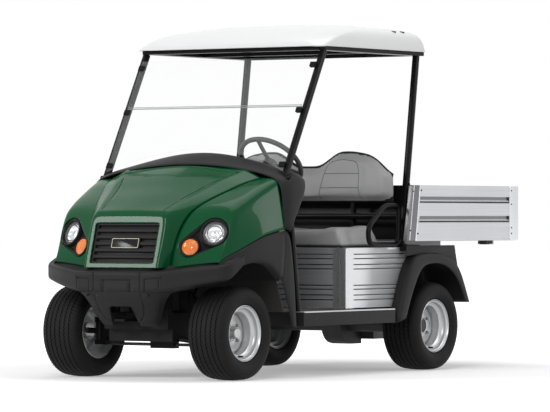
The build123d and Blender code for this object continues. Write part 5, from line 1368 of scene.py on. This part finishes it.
def stitched(name, piece, lines, aim, radius=1.7, sunk=0.6):
    """Lays seam lines on a pad by casting rays at it along an aim."""
    bm = bmesh.new()
    for line in lines:
        found = laid(piece, line, aim, -400 if aim.y else 1000, sunk)
        tube(bm, found, radius, 8, side=(0.3, 0.2, 1) if aim.y else (0.2, 1, 0.1))
    seams = mesh_piece(name, bm, thread)
    return seams


horseshoe = (
    (91, 884), (104, 941), (121, 1014), (146, 1072), (232, 1088), (322, 1076), (338, 1014), (336, 941),
    (339, 884),
)
lines = []
for side in (1, -1):
    lines.append([(side * x, z) for x, z in horseshoe])
    lines.append([(side * x, z) for x, z in ((104, 941), (220, 943), (336, 941))])
    lines.append([(side * x, z) for x, z in ((121, 1014), (230, 1016), (338, 1014))])
seams = stitched("backrest_seams", backrest, lines, AHEAD)
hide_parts("seat_back")
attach(seams, "chassis")
lines = [[(side * 60, 210), (side * 62, -60), (side * 90, -128)] for side in (1, -1)]
lines += [[(side * 425, 200), (side * 428, -60), (side * 420, -128)] for side in (1, -1)]
seams = stitched("cushion_seams", cushion, lines, DOWN, 1.4, 0.9)
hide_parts("seat_bottom")
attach(seams, "seat")
bm = bmesh.new()
slab(bm, ((-500, -150), (500, -150), (500, 232), (-500, 232)), 636.5, 645, "z", 2)
for x in (-300, 300):
    rod(bm, (x - 30, 248, 646), (x + 30, 248, 646), 5, 16)
    block(bm, (x - 30, 232, 643), (x + 30, 248, 648), 0.8)
board = mesh_piece("cushion_board", bm, trim)
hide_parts("seat_bottom")
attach(board, "seat")
columns = [(x, top_line(x) - 5) for x in range(-525, 526, 25)]
shell_rows = [
    [(x * 0.985, 309, z - 3) for x, z in columns],
    [(x * 0.97, 312.5, 962 + (z - 962) * 0.93) for x, z in columns],
    [(x * 0.97, 312.5, 905) for x, z in columns],
    [(x * 0.985, 309, 868) for x, z in columns],
]
shell = loft(
    "backrest_shell", shell_rows, trim, wall=2.5, level=1,
    pins=[(i, j, 1.0) for i in (0, 3) for j in (0, len(columns) - 1)],
)
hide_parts("seat_back")
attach(shell, "chassis")

# Steering: a moulded wheel with a soft rim and three spokes, fixed to the column's upper end.
# The column and the pedals keep their CAD shapes.
CENTRE, AXLE, RIM_RADIUS = Vector((280, -465, 1065)), Vector((0, 0.695, 0.719)).normalized(), 162
grip = coated("wheel_grip", (0.011, 0.011, 0.011), 0.55, 600, 0.0004, tone=0.1)
across, upward = Vector((1, 0, 0)), AXLE.cross(Vector((1, 0, 0)))
bm = bmesh.new()
turns = [math.tau * k / 96 for k in range(96)]
ring = [CENTRE + (across * math.cos(angle) + upward * math.sin(angle)) * RIM_RADIUS for angle in turns]
tube(bm, ring, 12.7, closed=True, side=AXLE)
for angle in (-90, 30, 150):
    out = across * math.cos(math.radians(angle)) + upward * math.sin(math.radians(angle))
    path = [CENTRE + out * 24 - AXLE * 5, CENTRE + out * 80 - AXLE * 7, CENTRE + out * 152 - AXLE * 3]
    tube(bm, bent(path, 40), 9, 16, side=out.cross(AXLE), flat=1.25)
spun(bm, ((-43, 30), (-43, 36), (-10, 37.5), (-2, 35), (0, 28), (0.4, 0)), CENTRE, AXLE, 48)
rod(bm, CENTRE - AXLE * 40, CENTRE - AXLE * 148, 11, 24)
wheel = mesh_piece("steering_wheel_rim", bm, grip, sharp=50)
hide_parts("steering_wheel")
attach(wheel, "steering_wheel")
dress(trim, "steering_column", "pedals")

# Canopy: a white moulded roof with a crowned top and a turned-down side band, on a black tube frame.
# The clear windshield is two sheets on clips, with a grey edge on each where they meet.
white = coated(
    "canopy_white", (0.78, 0.785, 0.79), 0.3, 90, 0.0002, tone=0.02, Coat_Weight=0.25, Coat_Roughness=0.12,
)
ROOF_HALF, ROOF_REAR_Y, ROOF_FRONT_Y, ABOVE_ROOF = 571, 571, -454, 2000
bm = bmesh.new()
rings = []
for level, beside, ahead, turn in (
    (1641, 0, 0, 62), (1650, 1, 4, 76), (1662, 3, 12, 96), (1676, 6, 27, 124), (1692, 10, 50, 152),
    (1708, 16, 82, 182),
    (1724, 26, 125, 232), (1738, 44, 180, 300), (1750, 78, 245, 330), (1760, 140, 320, 330),
    (1768, 240, 400, 280), (1773, 380, 470, 160),
):
    half_x, rear, front = ROOF_HALF - beside, ROOF_REAR_Y - beside, ROOF_FRONT_Y + ahead
    room = min(half_x, (rear - front) / 2) * 0.95
    turn, back_turn = min(turn, room), min(62 + beside * 0.35, room)
    ring = []
    for cx, cy, radius, start in (
        (half_x - back_turn, rear - back_turn, back_turn, 0),
        (back_turn - half_x, rear - back_turn, back_turn, 1),
        (turn - half_x, front + turn, turn, 2), (half_x - turn, front + turn, turn, 3),
    ):
        for k in range(9):
            angle = (start + k / 8) * math.pi / 2
            spot = Vector((cx + radius * math.cos(angle), cy + radius * math.sin(angle), level))
            ring.append(bm.verts.new(spot * MM))
    rings.append(ring)
skin(bm, rings)
bm.faces.new(rings[-1])
roof = mesh_piece("canopy_roof", bm, white, sharp=70)
smooth = roof.modifiers.new("smooth", "SUBSURF")
smooth.levels = smooth.render_levels = 2
thick = roof.modifiers.new("wall", "SOLIDIFY")
thick.thickness, thick.offset = 6 * MM, -1
settle(roof)
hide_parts("roof")
bm = bmesh.new()
for side in (1, -1):
    for spot in laid(roof, [(side * 520, 300), (side * 520, 380)], DOWN, ABOVE_ROOF, 0)[::11]:
        rod(bm, spot - Vector((0, 0, 5)), spot + Vector((side * 1.5, 0, 2.5)), 13, 20)
buttons = mesh_piece("canopy_buttons", bm, gloss_black)
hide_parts("roof")
for piece in (roof, buttons):
    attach(piece, "chassis")
dress(coat_black, "roof_frame", "windshield_clips")
sheet_clear = clear("windshield_sheet", (0.9, 0.92, 0.93), 0.05, 0.06)
dress(sheet_clear, "windshield_lower", "windshield_upper")
edge_grey = coated("sheet_edge", (0.42, 0.43, 0.44), 0.3, 200, 0.0001, tone=0.05, Alpha=0.6)
for label, place, thick in (("lower", (-562.5, 1338), 3.2), ("upper", (-561.6, 1345.5), 2)):
    bm = bmesh.new()
    rod(bm, (-530, *place), (530, *place), thick, 8)
    edge = mesh_piece("sheet_edge_" + label, bm, edge_grey)
    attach(edge, "chassis")

# Cargo bed: drawn aluminium planks with two stepped channels, rounded corner posts and a headboard coloured
# black as painted shade.
# The bed tips about a rear pin, and its tailgate drops on two pairs of hinge knuckles.
# The bed floor takes the dark copy of the aluminium as painted shade.
dress(shaded_drawn, "bed_floor")
wall_grooves = (879.5, 779.6)
POST_X, POST_FOOT, POST_TOP = 614.25, 668, 954.5


def channels(top, bottom, out, back, levels):
    """The outline of a drawn plank with stepped channels: a sloping inset face, a lip and a deep slot."""
    points = [(out, top)]
    for z in levels:
        points += [(out, z + 17), (out - 5, z + 16), (out - 7, z - 1), (out - 2.5, z - 3)]
        points += [(out - 2.5, z - 7), (out - 9, z - 8), (out - 9, z - 15), (out, z - 17)]
    return points + [(out, bottom), (back, bottom), (back, top)]


bm = bmesh.new()
for side in (1, -1):
    face = channels(954, 668, 624, 609, wall_grooves)
    slab(bm, [(side * x, z) for x, z in face], 344, 1290, "y", soft=0)
planks = mesh_piece("bed_side_planks", bm, bright, sharp=20)
bm = bmesh.new()
for side in (1, -1):
    outline = ((1287, POST_FOOT), (1375.5, POST_FOOT), (1375.5, POST_TOP), (1287, POST_TOP))
    slab(bm, outline, side * POST_X - 13.75, side * POST_X + 13.75, soft=6, steps=4)
    for outline in (
        ((281, 672), (287, 672), (332, 952), (326, 952)), ((338, 670), (348, 670), (393, 953), (383, 953)),
    ):
        slab(bm, outline, side * 626.5 - 1.9, side * 626.5 + 1.9, soft=1.2)
corner_posts = mesh_piece("bed_rear_posts", bm, post_drawn)
# The front posts take the dark copy of the aluminium as painted shade under the roof.
bm = bmesh.new()
for side in (1, -1):
    outline = ((259, POST_FOOT), (343, POST_FOOT), (389, POST_TOP), (316, POST_TOP))
    slab(bm, outline, side * POST_X - 13.25, side * POST_X + 12.75, soft=6, steps=4)
front_posts = mesh_piece("bed_front_posts", bm, shaded_drawn)
# The headboard takes the black powder coat as painted shade, since its face lies in shade behind the seat.
bm = bmesh.new()
slab(bm, ((395.5, 675.5), (414.5, 675.5), (460, 954.5), (441, 954.5)), -607, 607, "x", soft=1.5)
for z in wall_grooves:
    y = 395 + (z - 675) * 46 / 280
    slab(bm, ((y - 0.5, z - 5), (y + 5, z - 5), (y + 5, z + 5), (y - 0.5, z + 5)), -600, 600, "x", soft=0.5)
head = mesh_piece("bed_headboard", bm, coat_black)
bm = bmesh.new()
for side in (1, -1):
    for y, z in (
        (290, 722), (318, 922), (364, 706), (398, 928), (1302, 930), (1302, 858), (1302, 734), (1302, 704),
    ):
        rod(bm, (side * 623, y, z), (side * 629.5, y, z), 4.2, 12)
screws = mesh_piece("bed_screws", bm, gloss_black)
bm = bmesh.new()
for side in (1, -1):
    for z in wall_grooves:
        slab(
            bm, ((1262, z + 16), (1287, z + 16), (1287, z - 6), (1280, z - 1)), side * 618 - 7,
            side * 618 + 5.5, soft=1,
        )
# Thin black strips along the bottoms of the channels' slots: painted shade.
for z in wall_grooves:
    for side in (1, -1):
        block(bm, (side * 615 - 0.8, 395, z - 14.5), (side * 615 + 0.8, 1286, z - 8.5), 0)
ends = mesh_piece("groove_ends_and_slot_shade", bm, gloss_black)
# Dark strips on the channels' sloping inset faces, in the dark copy of the aluminium: painted shade.
bm = bmesh.new()
for z in wall_grooves:
    for side in (1, -1):
        shade = ((619.3, z + 15.5), (618, z + 15.5), (616.2, z), (617.6, z))
        slab(bm, [(side * x, height) for x, height in shade], 395, 1286, "y", soft=0)
shades = mesh_piece("groove_shades", bm, shaded_drawn)
for piece in (planks, corner_posts, front_posts, head, screws, ends, shades):
    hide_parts("bed_walls")
    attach(piece, "bed")
bm = bmesh.new()
slab(bm, channels(951.5, 673.5, 1392.5, 1378, wall_grooves), -600, 600, soft=0)
gate = mesh_piece("tailgate_plank", bm, cross_drawn, sharp=20)
# Strips in the tailgate's channels, in the dark copy of the aluminium: painted shade on the slots and the
# sloping inset faces.
bm = bmesh.new()
for z in wall_grooves:
    block(bm, (-599, 1383.2, z - 14.5), (599, 1384.4, z - 8.5), 0)
    block(bm, (-599, 1385.6, z), (599, 1386.8, z + 15.5), 0)
gate_shade_strips = mesh_piece("tailgate_shades", bm, shaded_drawn)
bm = bmesh.new()
for side in (1, -1):
    for step in (1, -1):
        low, high = sorted((side * 420 + step * 24, side * 420 + step * 46))
        block(bm, (low, 1378.5, 652), (high, 1391, 674), 1)
        rod(bm, (low, 1384.5, 652), (high, 1384.5, 652), 7.8, 20)
    block(bm, (side * 560 - 18, 1384, 880), (side * 560 + 18, 1392.8, 930), 2)
hinges = mesh_piece("tailgate_hinges", bm, zinc)
for piece in (gate, gate_shade_strips, hinges):
    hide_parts("tailgate")
    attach(piece, "tailgate")
dress(coat_black, "tip_uprights", "tow_plates")
